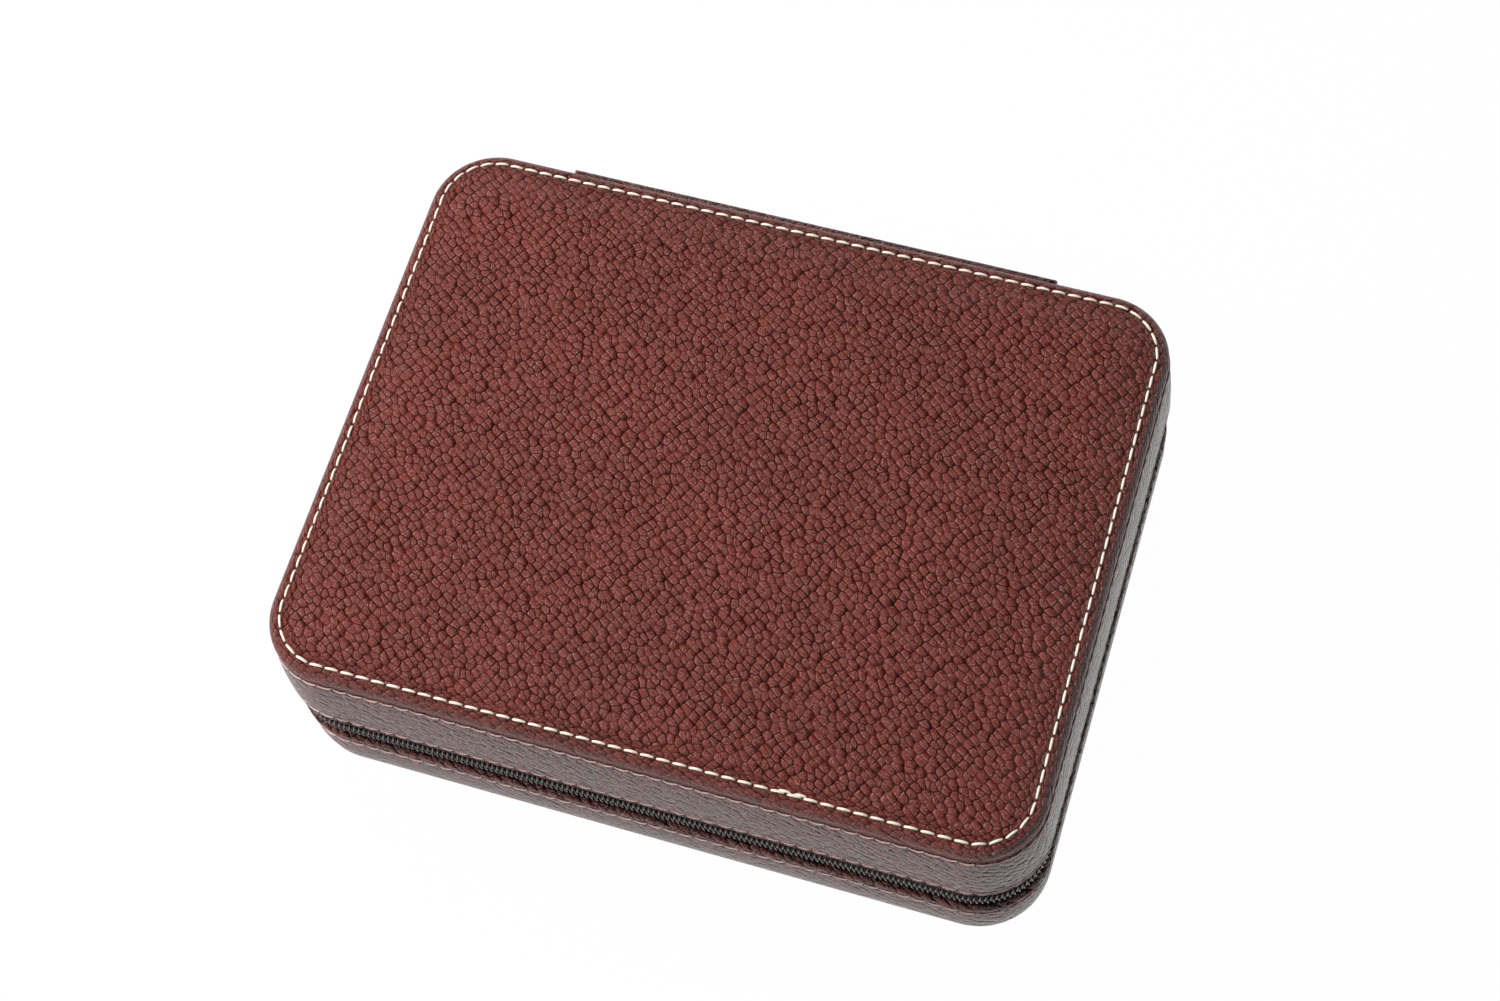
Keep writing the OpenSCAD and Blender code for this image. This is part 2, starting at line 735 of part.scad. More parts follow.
// Outline of the slider's plates, wide where the parted halves come in
module plate_outline() {
    narrow = 2 * (lip_in + lip_t);
    wide = narrow + 2 * parted;
    module pill(x0, x1, w, r) {
        translate([x0 + r, -w / 2]) square([x1 - x0 - 2 * r, w]);
        translate([x0, r - w / 2]) square([x1 - x0, w - 2 * r]);
        for (x = [x0 + r, x1 - r], s = [-1, 1]) translate([x, s * (w / 2 - r)]) circle(r);
    }
    pill(-slider_l / 2, slider_l / 2, narrow, 2);
    pill(-slider_l / 2, -slider_l / 2 + 5.4, wide, 2.2);
}

module slider_body() {
    inside_z = slider_gap - chain_d;
    color(steel) on_left_side() difference() {
        translate([0, 0, -lip_low]) linear_extrude(lip_low + plate_out) plate_outline();
        translate([-slider_l, -lip_in, -lip_low - 1]) cube([2 * slider_l, 2 * lip_in, lip_low + 1 + inside_z]);
        translate([-slider_l, -lip_in - parted, -lip_low - 1])
            cube([slider_l / 2 + 4.2, 2 * (lip_in + parted), lip_low + 1 + inside_z]);
    }
}

module slider_back_plate() {
    color(steel) on_left_side() translate([0, 0, -back_plate_d - plate_t * 0.8])
        linear_extrude(plate_t * 0.8) plate_outline();
}

// Arch over the pull's bar
module slider_bridge() {
    leg = 1.2;
    opening = bridge_l - 2 * leg;
    color(steel) on_left_side() translate([0, bridge_w / 2, plate_out]) rotate([90, 0, 0])
        linear_extrude(bridge_w) difference() {
            union() {
                translate([-bridge_l / 2, 0]) square([bridge_l, bridge_h - 1]);
                translate([1 - bridge_l / 2, 0]) square([bridge_l - 2, bridge_h]);
                for (s = [-1, 1]) translate([s * (bridge_l / 2 - 1), bridge_h - 1]) circle(1);
            }
            translate([-opening / 2, -1]) square([opening, bridge_h]);
        }
}

// Plain pull: two arms from the bar to a plate with an oblong hole
module pull_tab() {
    arm_w = 1.3;
    reach = 7.2;
    plate_r = pull_w / 2;
    hole_w = pull_w * 0.42;
    color(steel) on_left_side() translate([0, 0, bar_out]) {
        rotate([90, 0, 0]) translate([0, 0, -pull_w / 2 + 0.2]) cylinder(h = pull_w - 0.4, r = bar_r);
        translate([0, 0, -pull_t / 2]) linear_extrude(pull_t) difference() {
            union() {
                translate([0, -pull_w / 2]) square([pull_l - plate_r, pull_w]);
                translate([pull_l - plate_r, 0]) circle(plate_r);
            }
            translate([-1, arm_w - pull_w / 2]) square([reach + 1, pull_w - 2 * arm_w]);
            translate([reach + 6, -hole_w / 2]) square([pull_l - reach - 14, hole_w]);
            for (x = [reach + 6, pull_l - 8]) translate([x, 0]) circle(hole_w / 2);
        }
    }
}

// ---------------------------------------------------------------- nodes

bottom_leather();
base_band_leather();
base_side_foam();
base_board();
base_lining();
tray_frame();
long_divider();
for (i = [1:columns - 1]) cross_divider(i);
for (i = [1:columns * rows]) watch_pillow(i);
zip_tape_base();
zip_coil_base();
zip_joined_teeth();
zip_stops_base();
spine_base();
spine_lining_base();
lid_top_leather();
lid_foam_pad();
lid_band_leather();
lid_side_foam();
lid_board();
lid_lining();
lid_cushion();
zip_tape_lid();
zip_coil_lid();
zip_stops_lid();
spine_lid();
spine_lining_lid();
slider_body();
slider_back_plate();
slider_bridge();
pull_tab();
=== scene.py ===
from math import pi, radians

import bmesh
import bpy
import numpy as np
from mathutils import Matrix, Vector


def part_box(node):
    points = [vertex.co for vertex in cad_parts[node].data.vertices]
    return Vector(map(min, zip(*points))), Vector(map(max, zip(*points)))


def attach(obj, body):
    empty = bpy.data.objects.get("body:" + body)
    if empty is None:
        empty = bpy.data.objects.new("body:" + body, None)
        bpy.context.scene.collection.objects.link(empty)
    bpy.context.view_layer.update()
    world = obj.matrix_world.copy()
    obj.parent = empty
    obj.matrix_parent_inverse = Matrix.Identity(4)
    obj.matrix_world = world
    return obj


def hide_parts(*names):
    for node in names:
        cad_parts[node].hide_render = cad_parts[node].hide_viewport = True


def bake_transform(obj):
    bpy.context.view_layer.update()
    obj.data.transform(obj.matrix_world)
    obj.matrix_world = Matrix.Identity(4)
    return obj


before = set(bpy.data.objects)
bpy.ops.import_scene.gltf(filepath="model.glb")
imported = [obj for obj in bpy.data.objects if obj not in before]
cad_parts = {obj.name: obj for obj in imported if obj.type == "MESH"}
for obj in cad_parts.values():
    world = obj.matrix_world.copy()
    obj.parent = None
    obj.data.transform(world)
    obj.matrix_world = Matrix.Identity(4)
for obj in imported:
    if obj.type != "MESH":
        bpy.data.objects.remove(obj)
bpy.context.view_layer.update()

bpy.ops.object.select_all(action="DESELECT")

# ------------------------------------------------------------------ grey board
# Two trays of stiff grey board give the base and the lid their shape. They are cut, scored and
# glued, and show only as a thin edge beside the zip when the case is open.


class Wire:
    """A number, vector or colour on its way through a material. Sums on wires add Math nodes."""

    def __init__(self, tree, socket=None):
        self.tree = tree
        self.socket = socket

    def node(self, kind, settings=None, sockets=None, out=0):
        """Adds a shader node: its settings first, then the values or wires of its sockets."""
        made = self.tree.nodes.new("ShaderNode" + kind)
        for name, value in (settings or {}).items():
            setattr(made, name, value)
        for name, value in (sockets or {}).items():
            if isinstance(value, Wire):
                self.tree.links.new(value.socket, made.inputs[name])
            else:
                made.inputs[name].default_value = value
        return Wire(self.tree, made.outputs[out] if made.outputs else None)

    def maths(self, operation, a, b):
        return self.node("Math", {"operation": operation}, {0: a, 1: b})

    def __add__(self, other):
        return self.maths("ADD", self, other)

    def __mul__(self, other):
        return self.maths("MULTIPLY", self, other)

    def __sub__(self, other):
        return self.maths("SUBTRACT", self, other)

    def __rsub__(self, other):
        return self.maths("SUBTRACT", other, self)

    __radd__ = __add__

    def smooth(self, low, high, from_value=0.0, to_value=1.0):
        """Turns from one value to the other between low and high, with soft ends."""
        ends = {"From Min": low, "From Max": high, "To Min": from_value, "To Max": to_value}
        return self.node("MapRange", {"interpolation_type": "SMOOTHSTEP"}, {"Value": self} | ends)

    def wave(self, turns):
        """A sine of this value, with so many waves to each unit."""
        return self.node("Math", {"operation": "SINE"}, {0: self * (turns * 2 * pi)})

    def noise(self, scale, detail, distortion=0.0, out=0):
        """Soft blotches over this place, so many to the metre. Out 1 is a random vector."""
        sockets = {"Vector": self, "Scale": scale, "Detail": detail, "Distortion": distortion}
        return self.node("TexNoise", sockets=sockets, out=out)

    def bumped(self, distance, strength=1.0):
        """The normal of a surface whose relief is this height."""
        return self.node("Bump", sockets={"Strength": strength, "Distance": distance, "Height": self})

    def moved(self, by, amount):
        """This place, pushed by a wire's vector times an amount."""
        scaled = self.node("VectorMath", {"operation": "SCALE"}, {0: by, "Scale": amount})
        return self.node("VectorMath", {"operation": "ADD"}, {0: self, 1: scaled})

    def colours(self, first, second):
        """Colour that goes from the first to the second as this factor goes from 0 to 1."""
        return self.node("Mix", {"data_type": "RGBA"}, {0: self, 6: first, 7: second}, out=2)

    def surface(self, sockets):
        self.node("OutputMaterial", sockets={"Surface": self.node("BsdfPrincipled", sockets=sockets)})


def start_finish(name):
    """A new material without nodes, and the wire of a point's place on the piece, in metres."""
    material = bpy.data.materials.new(name)
    material.use_nodes = True
    material.node_tree.nodes.clear()
    return material, Wire(material.node_tree).node("TexCoord", out=3)


def put_on(piece, material):
    piece.data.materials.clear()
    piece.data.materials.append(material)


board_finish, place = start_finish("grey_board")
fibres = place.noise(900.0, 4.0)
place.surface({
    "Base Color": fibres.colours((0.20, 0.165, 0.12, 1), (0.30, 0.25, 0.19, 1)),
    "Roughness": 0.9,
})
for node in ("base_board", "lid_board"):
    put_on(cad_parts[node], board_finish)

# ------------------------------------------------------------------ leather of the base
# A band of litchi-grain leatherette goes round the base over thin foam. It is turned under at the
# bottom and rolled over at the rim, with a sewn row below the rim; a flat panel covers the bottom.

base_low, base_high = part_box("base_band_leather")
corner_r = 0.0238
core_x = base_high.x - corner_r
core_y = base_high.y - corner_r
stitch_pitch = 0.0051
leather_t = 0.0012
flap_length = 0.0055
mesh_step = 0.0011


def round_case(s, row):
    """Foot on the corners' rectangle and angle of the outward normal, at s along a row.

    The row runs at the depth row, counter-clockwise from the middle of the back.
    """
    arc = pi / 2 * (corner_r - row)
    steps = [0, core_x, arc, 2 * core_y, arc, 2 * core_x, arc, 2 * core_y, arc, core_x]
    stops = np.cumsum(steps)
    x = np.interp(s, stops, core_x * np.array([0, -1, -1, -1, -1, 1, 1, 1, 1, 0]))
    y = np.interp(s, stops, core_y * np.array([1, 1, 1, -1, -1, -1, -1, 1, 1, 1]))
    angle = np.interp(s, stops, pi / 2 * np.array([1, 1, 2, 2, 3, 3, 4, 4, 5, 5]))
    return x, y, angle


def row_length(row):
    return 4 * (core_x + core_y) + 2 * pi * (corner_r - row)


def place_on_row(x, y, row):
    """Distance along a row, and depth, of points near the case's side."""
    slack = 1e-5
    foot_x, foot_y = np.clip(x, -core_x, core_x), np.clip(y, -core_y, core_y)
    out_x, out_y = x - foot_x, y - foot_y
    depth = corner_r - np.hypot(out_x, out_y)
    turn = (np.arctan2(out_y, out_x) - pi / 2) % (2 * pi)
    turn = np.where(turn > 2 * pi - slack, 0.0, turn)
    quarter = np.minimum(np.floor((turn + slack) / (pi / 2)), 3)
    along = turn * (corner_r - row)
    start = np.array([core_x, core_x + 2 * core_y, 3 * core_x + 2 * core_y, 3 * core_x + 4 * core_y])
    on_back = -foot_x
    on_left = core_x + core_y - foot_y
    on_front = 2 * core_x + 2 * core_y + foot_x
    on_right = 3 * core_x + 3 * core_y + foot_y
    straight = np.select(
        [out_y >= np.abs(out_x), out_x <= -np.abs(out_y), out_y <= -np.abs(out_x)],
        [on_back, on_left, on_front], on_right)
    in_corner = (np.abs(foot_x) >= core_x - 1e-9) & (np.abs(foot_y) >= core_y - 1e-9)
    base = np.where(in_corner, start[quarter.astype(int)], straight)
    return (base + along) % row_length(row), depth


def sweep(name, profile, row, closed=True):
    """Takes a [depth, height] profile round the case: a plane with rounded corners becomes a
    path, the profile is its bevel, and the two are made one mesh."""
    bpy.ops.mesh.primitive_plane_add(size=1)
    path = bpy.context.object
    path.scale = (2 * (core_x + corner_r - row), 2 * (core_y + corner_r - row), 1)
    bpy.ops.object.transform_apply(scale=True)
    bpy.ops.object.mode_set(mode="EDIT")
    bpy.ops.mesh.select_all(action="SELECT")
    radius = corner_r - row
    arc_cuts = 2 * max(3, round(pi / 4 * radius / mesh_step))
    bpy.ops.mesh.bevel(offset=radius, segments=arc_cuts, affect="VERTICES")
    bpy.ops.mesh.delete(type="ONLY_FACE")
    for run in (2 * core_x, 2 * core_y):
        bpy.ops.mesh.select_all(action="DESELECT")
        bpy.ops.object.mode_set(mode="OBJECT")
        for edge in path.data.edges:
            a, b = (path.data.vertices[i].co for i in edge.vertices)
            edge.select = abs((a - b).length - run) < 1e-4
        bpy.ops.object.mode_set(mode="EDIT")
        bpy.ops.mesh.select_mode(type="EDGE")
        # Halved first, so that a point stands in the middle of each side
        bpy.ops.mesh.subdivide(number_cuts=1)
        bpy.ops.mesh.subdivide(number_cuts=round(run / mesh_step / 2) - 1)
    bpy.ops.object.mode_set(mode="OBJECT")
    bpy.ops.object.convert(target="CURVE")
    shape = bpy.data.curves.new(name + "_profile", "CURVE")
    spline = shape.splines.new("POLY")
    spline.points.add(len(profile) - 1)
    for point, (depth, height) in zip(spline.points, profile):
        point.co = (depth - row, height, 0, 1)
    spline.use_cyclic_u = closed
    cutter = bpy.data.objects.new(name + "_profile", shape)
    bpy.context.collection.objects.link(cutter)
    path.data.dimensions = "2D"
    path.data.fill_mode = "NONE"
    path.data.bevel_mode = "OBJECT"
    path.data.bevel_object = cutter
    bpy.ops.object.convert(target="MESH")
    piece = bpy.context.object
    bpy.data.objects.remove(cutter)
    piece.name = piece.data.name = name
    bpy.ops.object.mode_set(mode="EDIT")
    bpy.ops.mesh.select_all(action="SELECT")
    bpy.ops.mesh.remove_doubles(threshold=1e-6)
    bpy.ops.mesh.normals_make_consistent(inside=False)
    bpy.ops.object.mode_set(mode="OBJECT")
    bpy.ops.object.shade_smooth()
    return piece


def mark_cut(piece, across, along):
    """Stores where each point lies on the flat cut panel, in metres, for the grain to follow."""
    cut = piece.data.attributes.new("cut", "FLOAT_VECTOR", "POINT")
    places = np.stack([across, along, 0 * across], axis=1)
    cut.data.foreach_set("vector", places.astype(np.float32).ravel())


def length_along(profile):
    steps = np.linalg.norm(np.diff(np.array(profile), axis=0), axis=1)
    return np.concatenate([[0], np.cumsum(steps)])


def nearest(profile, depth, height):
    """Which point of a profile lies nearest to each place."""
    corners = np.array(profile)
    return np.hypot(depth[:, None] - corners[:, 0], height[:, None] - corners[:, 1]).argmin(axis=1)


def mark_band(piece, profile, row):
    """The cut of a swept band: round the case one way, up its profile the other."""
    points = read_points(piece)
    along, depth = place_on_row(points[:, 0], points[:, 1], row)
    mark_cut(piece, along, length_along(profile)[nearest(profile, depth, points[:, 2])])


def read_points(piece):
    points = np.empty(len(piece.data.vertices) * 3)
    piece.data.vertices.foreach_get("co", points)
    return points.reshape(-1, 3)


def write_points(piece, points):
    piece.data.vertices.foreach_set("co", points.ravel())
    piece.data.update()


def pull_in_row(piece, row, row_z, sink, width):
    """Draws the leather in along a sewn row: deepest at each needle hole, with a small swell
    between the holes and beside the row."""
    points = read_points(piece)
    along, depth = place_on_row(points[:, 0], points[:, 1], row)
    count = round(row_length(row) / stitch_pitch)
    holes = np.cos(2 * pi * along / row_length(row) * count)
    beside = np.abs(points[:, 2] - row_z) / width
    outer = np.clip(1 - (depth - row - 0.0003) / leather_t, 0, 1)
    dent = np.exp(-beside ** 2) * (0.55 + 0.45 * holes) * sink * outer
    swell = np.exp(-(beside - 1.7) ** 2) * (0.5 - 0.5 * holes) * sink * 0.45 * outer
    _, _, angle = round_case(along, row)
    move = swell - dent
    points[:, 0] += np.cos(angle) * move
    points[:, 1] += np.sin(angle) * move
    write_points(piece, points)


def arc_points(centre, r, first, last, steps):
    turn = np.radians(np.linspace(first, last, steps + 1))
    return [(centre[0] + r * np.cos(a), centre[1] + r * np.sin(a)) for a in turn]


def leather(name, relief, crease_width, shadow, gloss, glint_share, depth, specular):
    """Litchi grain, pressed into the flat hide: pebbles under three millimetres across in slanting
    rows, thin creases painted dark as shade that fade here and there, and fine wrinkles. Pale
    glints are painted as highlights on the wrinkles and on the shoulders beside the creases."""
    pebble_size = 0.0026
    wrinkle_size = 0.0011
    deep_red = [depth * part for part in (0.140, 0.019, 0.0125)] + [1]
    red = [depth * part for part in (0.172, 0.024, 0.016)] + [1]
    crease_shade_colour = (0.012, 0.001, 0.001, 1)
    glint_colour = (0.48, 0.19, 0.14, 1)
    to_edge = {"feature": "DISTANCE_TO_EDGE", "voronoi_dimensions": "2D"}
    to_middle = {"feature": "F1", "voronoi_dimensions": "2D"}

    material, place = start_finish(name)
    hide = place.node("Attribute", {"attribute_name": "cut"}, out=1)
    drift = hide.noise(130.0, 2.0, out=1)
    slanted = place.node("Mapping", {"vector_type": "TEXTURE"}, {
        "Vector": hide.moved(drift, 0.0018), "Rotation": (0, 0, radians(-34)), "Scale": (1.22, 0.86, 1.0)})
    pebbles = {"Vector": slanted, "Scale": 1 / pebble_size, "Randomness": 0.66}
    from_crease = place.node("TexVoronoi", to_edge, pebbles)
    from_top = place.node("TexVoronoi", to_middle, pebbles)
    drawn_out = place.node("Mapping", sockets={
        "Vector": slanted.moved(drift, 0.0030), "Scale": (0.45, 1.25, 1.0)})
    wrinkles = {"Vector": drawn_out, "Scale": 1 / wrinkle_size, "Randomness": 1.0}
    from_wrinkle = place.node("TexVoronoi", to_edge, wrinkles)
    pores = hide.noise(1500.0, 5.0, 1.2)

    fading = hide.noise(150.0, 2.0).smooth(0.36, 0.60, 0.3, 1.0)
    crease = (1 - from_crease.smooth(0.0, crease_width)) * fading
    patches = hide.noise(420.0, 2.0).smooth(0.42, 0.58)
    wrinkle = (1 - from_wrinkle.smooth(0.0, 0.12)) * patches
    dome = 1 - from_top * from_top * from_top * 4.2
    height = dome * 0.50 - crease * 0.12 + wrinkle * 0.12 + pores * 0.36
    # Painted highlights: pale glints painted on the wrinkles and on the pebbles' shoulders beside the
    # creases, as if lit
    beside_crease = from_crease.smooth(0.06, 0.12) * (1 - from_crease.smooth(0.16, 0.26))
    shoulder = beside_crease * pores.smooth(0.50, 0.58)
    painted_glints = (wrinkle * (1 - crease) * 0.7 + shoulder * 1.3) * glint_share

    tops = hide.noise(24.0, 3.0).smooth(0.3, 0.7).colours(deep_red, red)
    # Painted shade: the creases are painted dark, as far as shadow says, as if shade lay in them
    body = (crease * shadow).colours(tops, crease_shade_colour)
    place.surface({
        "Base Color": painted_glints.colours(body, glint_colour),
        "Roughness": gloss - pores * 0.18,
        "Specular IOR Level": specular,
        "Normal": height.bumped(relief),
    })
    return material


# The hide is drawn tight over the lid's top; on the bands and below it is looser, its grain deeper
# The bands' copy has its creases painted darker as shade, brighter painted glints and a little darker
# colour
taut_leather = leather("taut_leather", relief=0.0013, crease_width=0.14, shadow=0.85,
                       gloss=0.31, glint_share=0.44, depth=0.98, specular=0.38)
loose_leather = leather("loose_leather", relief=0.0026, crease_width=0.24, shadow=1.0,
                        gloss=0.27, glint_share=0.8, depth=0.82, specular=0.55)

# The band's section, from the turned-under lip up the outside, over the rim and down the flap
base_draw = 0.00045
lip_z = base_low.z
lip_end = 0.0043
edge_r = 0.0026
rim_r = 0.0013
rim_z = base_high.z
base_row_z = 0.019
base_row = base_draw + 0.00015
belly_z = base_row_z - 0.0012
low_corner = (base_draw + edge_r, lip_z + edge_r)
flap_d = 2 * rim_r + 0.00005
flap_z = rim_z - rim_r - flap_length
belly = [(base_draw * (1 - np.sin(pi * t)), low_corner[1] + (belly_z - low_corner[1]) * t)
         for t in np.linspace(0, 1, 17)[1:-1]]
base_profile = (
    [(lip_end, lip_z)]
    + arc_points(low_corner, edge_r, 270, 180, 8)
    + belly
    + [(base_draw, belly_z), (base_row - 0.00005, base_row_z - 0.0005), (base_row, base_row_z),
       (base_row - 0.00005, base_row_z + 0.0005), (base_row - 0.00012, base_row_z + 0.0011)]
    + arc_points((rim_r + 0.00005, rim_z - rim_r), rim_r, 222, 0, 12)
    + [(flap_d, flap_z), (base_draw + leather_t + 0.0001, flap_z)]
    + arc_points(low_corner, edge_r - leather_t, 180, 270, 5)
    + [(lip_end, lip_z + leather_t)])
row_sink = 0.0003
row_width = 0.0011
base_band = sweep("base_leather_band", base_profile, base_row)
mark_band(base_band, base_profile, base_row)
pull_in_row(base_band, base_row, base_row_z, row_sink, row_width)
put_on(base_band, loose_leather)
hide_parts("base_band_leather", "base_side_foam")
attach(base_band, "base")

# ------------------------------------------------------------------ lid's side band
# The lid's band leans in towards the top over its foam. Its lower rim is rolled, with a sewn row
# just above it, and its upper edge is seamed to the top panel.

band_low, band_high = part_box("lid_band_leather")
seam_z = band_high.z
lid_rim_r = 0.0012
lid_bead = (0.0015, band_low.z + lid_rim_r)
lid_foot_d = 0.0003
lid_top_d = 0.0023
lid_row_z = 0.043


def lid_face(z):
    """Depth of the lid's outer face at a height."""
    t = max(0.0, (z - lid_bead[1]) / (seam_z - lid_bead[1]))
    return lid_foot_d + (lid_top_d - lid_foot_d) * t ** 2.2


lid_row = lid_face(lid_row_z) + 0.0005
flap_top = lid_bead[1] + flap_length
faces = np.linspace(lid_row_z + 0.0012, seam_z - 0.0008, 22)
lid_profile = (
    [(lid_bead[0] + lid_rim_r, flap_top)]
    + arc_points(lid_bead, lid_rim_r, 0, -222, 12)
    + [(lid_row - 0.00025, lid_row_z - 0.0009), (lid_row - 0.00005, lid_row_z - 0.0004),
       (lid_row, lid_row_z),
       (lid_row - 0.00005, lid_row_z + 0.0004), (lid_row - 0.0003, lid_row_z + 0.0009)]
    + [(lid_face(z), z) for z in faces]
    + [(lid_top_d + 0.0002, seam_z - 0.0002), (lid_top_d + 0.0005, seam_z),
       (lid_top_d + leather_t, seam_z)]
    + [(lid_face(z) + leather_t, z) for z in faces[::-3] if z > flap_top + 0.0006]
    + [(lid_face(flap_top) + leather_t, flap_top)])
lid_band = sweep("lid_leather_band", lid_profile, lid_row)
mark_band(lid_band, lid_profile, lid_row)
pull_in_row(lid_band, lid_row, lid_row_z, row_sink, row_width)
put_on(lid_band, loose_leather)
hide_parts("lid_band_leather", "lid_side_foam")
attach(lid_band, "lid")

# ------------------------------------------------------------------ lid's padded top
# One panel of leatherette over foam. It rolls over a soft shoulder to the seam, and is sewn
# through all round, a little way in, so that it swells in the middle.

top_low, top_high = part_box("lid_top_leather")
shoulder_r = 0.004
edge_z = 0.0765
top_row = lid_top_d + 0.0041
sink = 0.0005
dent_width = 0.0009
swell = 0.0016
crown = top_high.z - edge_z - swell
field_d = top_row + 0.0034
field_span = 2 * round(core_y / mesh_step) + 2 * round(pi / 4 * (corner_r - top_row) / mesh_step)
ledge_squeeze = 1.8
seam_sink = 0.00022
seam_width = 0.0009
pad_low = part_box("lid_board")[1].z + 0.00005
shoulder = (lid_top_d + shoulder_r, edge_z - shoulder_r)


def swollen(depth):
    """Height of the padded top at a depth inside the sewn row."""
    inside = np.clip((np.asarray(depth) - top_row) / (corner_r - top_row), 0, 1)
    return edge_z + swell * (1 - (1 - inside) ** 1.9)


top_profile = (
    [(lid_top_d + leather_t, pad_low), (lid_top_d + leather_t, top_low.z + 0.0002),
     (lid_top_d + 0.0003, top_low.z), (lid_top_d, top_low.z + 0.0003)]
    + arc_points(shoulder, shoulder_r, 180, 93, 12)
    + [(top_row, edge_z)]
    + [(d, float(swollen(d))) for d in np.linspace(top_row + 0.0004, field_d, 8)])
lid_top = sweep("lid_padded_top", top_profile, top_row, closed=False)

# The swept ring is closed by one face below, and over the field by a grid of faces that starts at
# the corner on the right of the back
for ring_depth, ring_z in ((lid_top_d + leather_t, pad_low), (field_d, float(swollen(field_d)))):
    points = read_points(lid_top)
    _, depths = place_on_row(points[:, 0], points[:, 1], top_row)
    on_ring = (np.abs(depths - ring_depth) < 1e-4) & (np.abs(points[:, 2] - ring_z) < 1e-4)
    corner = int(np.argmax(on_ring * (points[:, 0] + points[:, 1] + 1)))
    bpy.ops.object.mode_set(mode="EDIT")
    bpy.ops.mesh.select_mode(type="VERT")
    bpy.ops.mesh.select_all(action="DESELECT")
    bpy.ops.object.mode_set(mode="OBJECT")
    lid_top.data.vertices.foreach_set("select", on_ring)
    bpy.ops.object.mode_set(mode="EDIT")
    if ring_z == pad_low:
        bpy.ops.mesh.edge_face_add()
    else:
        inner = bmesh.from_edit_mesh(lid_top.data)
        inner.verts.ensure_lookup_table()
        inner.select_history.add(inner.verts[corner])
        bpy.ops.mesh.fill_grid(span=field_span)
    bpy.ops.object.mode_set(mode="OBJECT")

# The hide's cut is flat over the field, and goes on over the ledge and shoulder a little squeezed
points = read_points(lid_top)
_, depths = place_on_row(points[:, 0], points[:, 1], top_row)
run = length_along(top_profile)
rolled = np.where(depths > field_d, 0.0, run[-1] - run[nearest(top_profile, depths, points[:, 2])])
flat = points[:, :2].copy()
foot = np.stack([np.clip(flat[:, 0], -core_x, core_x), np.clip(flat[:, 1], -core_y, core_y)], axis=1)
out = flat - foot
out_length = np.maximum(np.linalg.norm(out, axis=1), 1e-9)
rim = depths < field_d + 0.0002
reach = (corner_r - field_d + rolled[rim] * ledge_squeeze) / out_length[rim]
flat[rim] = foot[rim] + out[rim] * reach[:, None]
mark_cut(lid_top, flat[:, 0], flat[:, 1])

# The foam swells the field, and each stitch of the sewn row pulls its hole down
along, _ = place_on_row(points[:, 0], points[:, 1], top_row)
on_top = points[:, 2] > edge_z - 0.0012
field = on_top & (depths > field_d + 0.0001)
points[field, 2] = swollen(depths[field])
dome_x = np.clip(1 - (points[:, 0] / core_x) ** 2, 0, 1) ** 2
dome_y = np.clip(1 - (points[:, 1] / core_y) ** 2, 0, 1) ** 2
points[on_top, 2] += crown * (dome_x * dome_y)[on_top]
count = round(row_length(top_row) / stitch_pitch)
holes = np.cos(2 * pi * along / row_length(top_row) * count)
beside = (depths - top_row) / dent_width
points[:, 2] -= on_top * np.exp(-beside ** 2) * (0.6 + 0.4 * holes) * sink
points[:, 2] += on_top * np.exp(-(np.abs(beside) - 1.9) ** 2) * (0.5 - 0.5 * holes) * sink * 0.35
write_points(lid_top, points)
bpy.ops.object.mode_set(mode="EDIT")
bpy.ops.mesh.select_all(action="SELECT")
bpy.ops.mesh.normals_make_consistent(inside=False)
bpy.ops.object.mode_set(mode="OBJECT")
bpy.ops.object.shade_smooth()
pull_in_row(lid_band, lid_top_d, seam_z, seam_sink, seam_width)
pull_in_row(lid_top, lid_top_d, seam_z, seam_sink, seam_width)
put_on(lid_top, taut_leather)
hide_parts("lid_top_leather", "lid_foam_pad")
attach(lid_top, "lid")

# ------------------------------------------------------------------ thread
# The lid's top is sewn with cream thread, about five millimetres to a stitch. The lid's seam and
# both rims have a thinner rose thread. Each stitch dips into its needle holes at both ends.

stitch_slant = radians(2)
lid_shoulder_z = 0.072
spine_end = (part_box("spine_base")[1].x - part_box("spine_base")[0].x) / 2 + 0.002


def make_stitch(length, radius, arch, sag, hole_from):
    """One stitch along x: a bent thread that thins towards its needle holes, where its colour is painted
    dark as shade.
    """
    bpy.ops.mesh.primitive_cylinder_add(vertices=8, radius=radius, depth=length, end_fill_type="NGON")
    stitch = bpy.context.object
    stitch.rotation_euler = (0, pi / 2, 0)
    bpy.ops.object.transform_apply(rotation=True)
    bpy.ops.object.mode_set(mode="EDIT")
    for cut in (-0.46, -0.34, -0.17, 0, 0.17, 0.34, 0.46):
        bpy.ops.mesh.select_all(action="SELECT")
        bpy.ops.mesh.bisect(plane_co=(cut * length, 0, 0), plane_no=(1, 0, 0))
    bpy.ops.object.mode_set(mode="OBJECT")
    points = read_points(stitch)
    # Half as thick at the ends, a little flattened, and bent down into the holes
    share = np.abs(points[:, 0]) / (length / 2)
    points[:, 1:] *= (1 - 0.5 * share ** 3)[:, None]
    points[:, 1] *= 1.15
    points[:, 2] += radius * 0.55 - arch * share ** 2
    points[:, 1] -= sag * (1 - share ** 2)
    write_points(stitch, points)
    # How far the thread is sunk into its hole, for painted shade there
    in_hole = stitch.data.attributes.new("in_hole", "FLOAT", "POINT")
    sunk = np.clip((share - hole_from) / (1 - hole_from), 0, 1)
    in_hole.data.foreach_set("value", sunk.astype(np.float32))
    bpy.ops.object.shade_smooth()
    return stitch


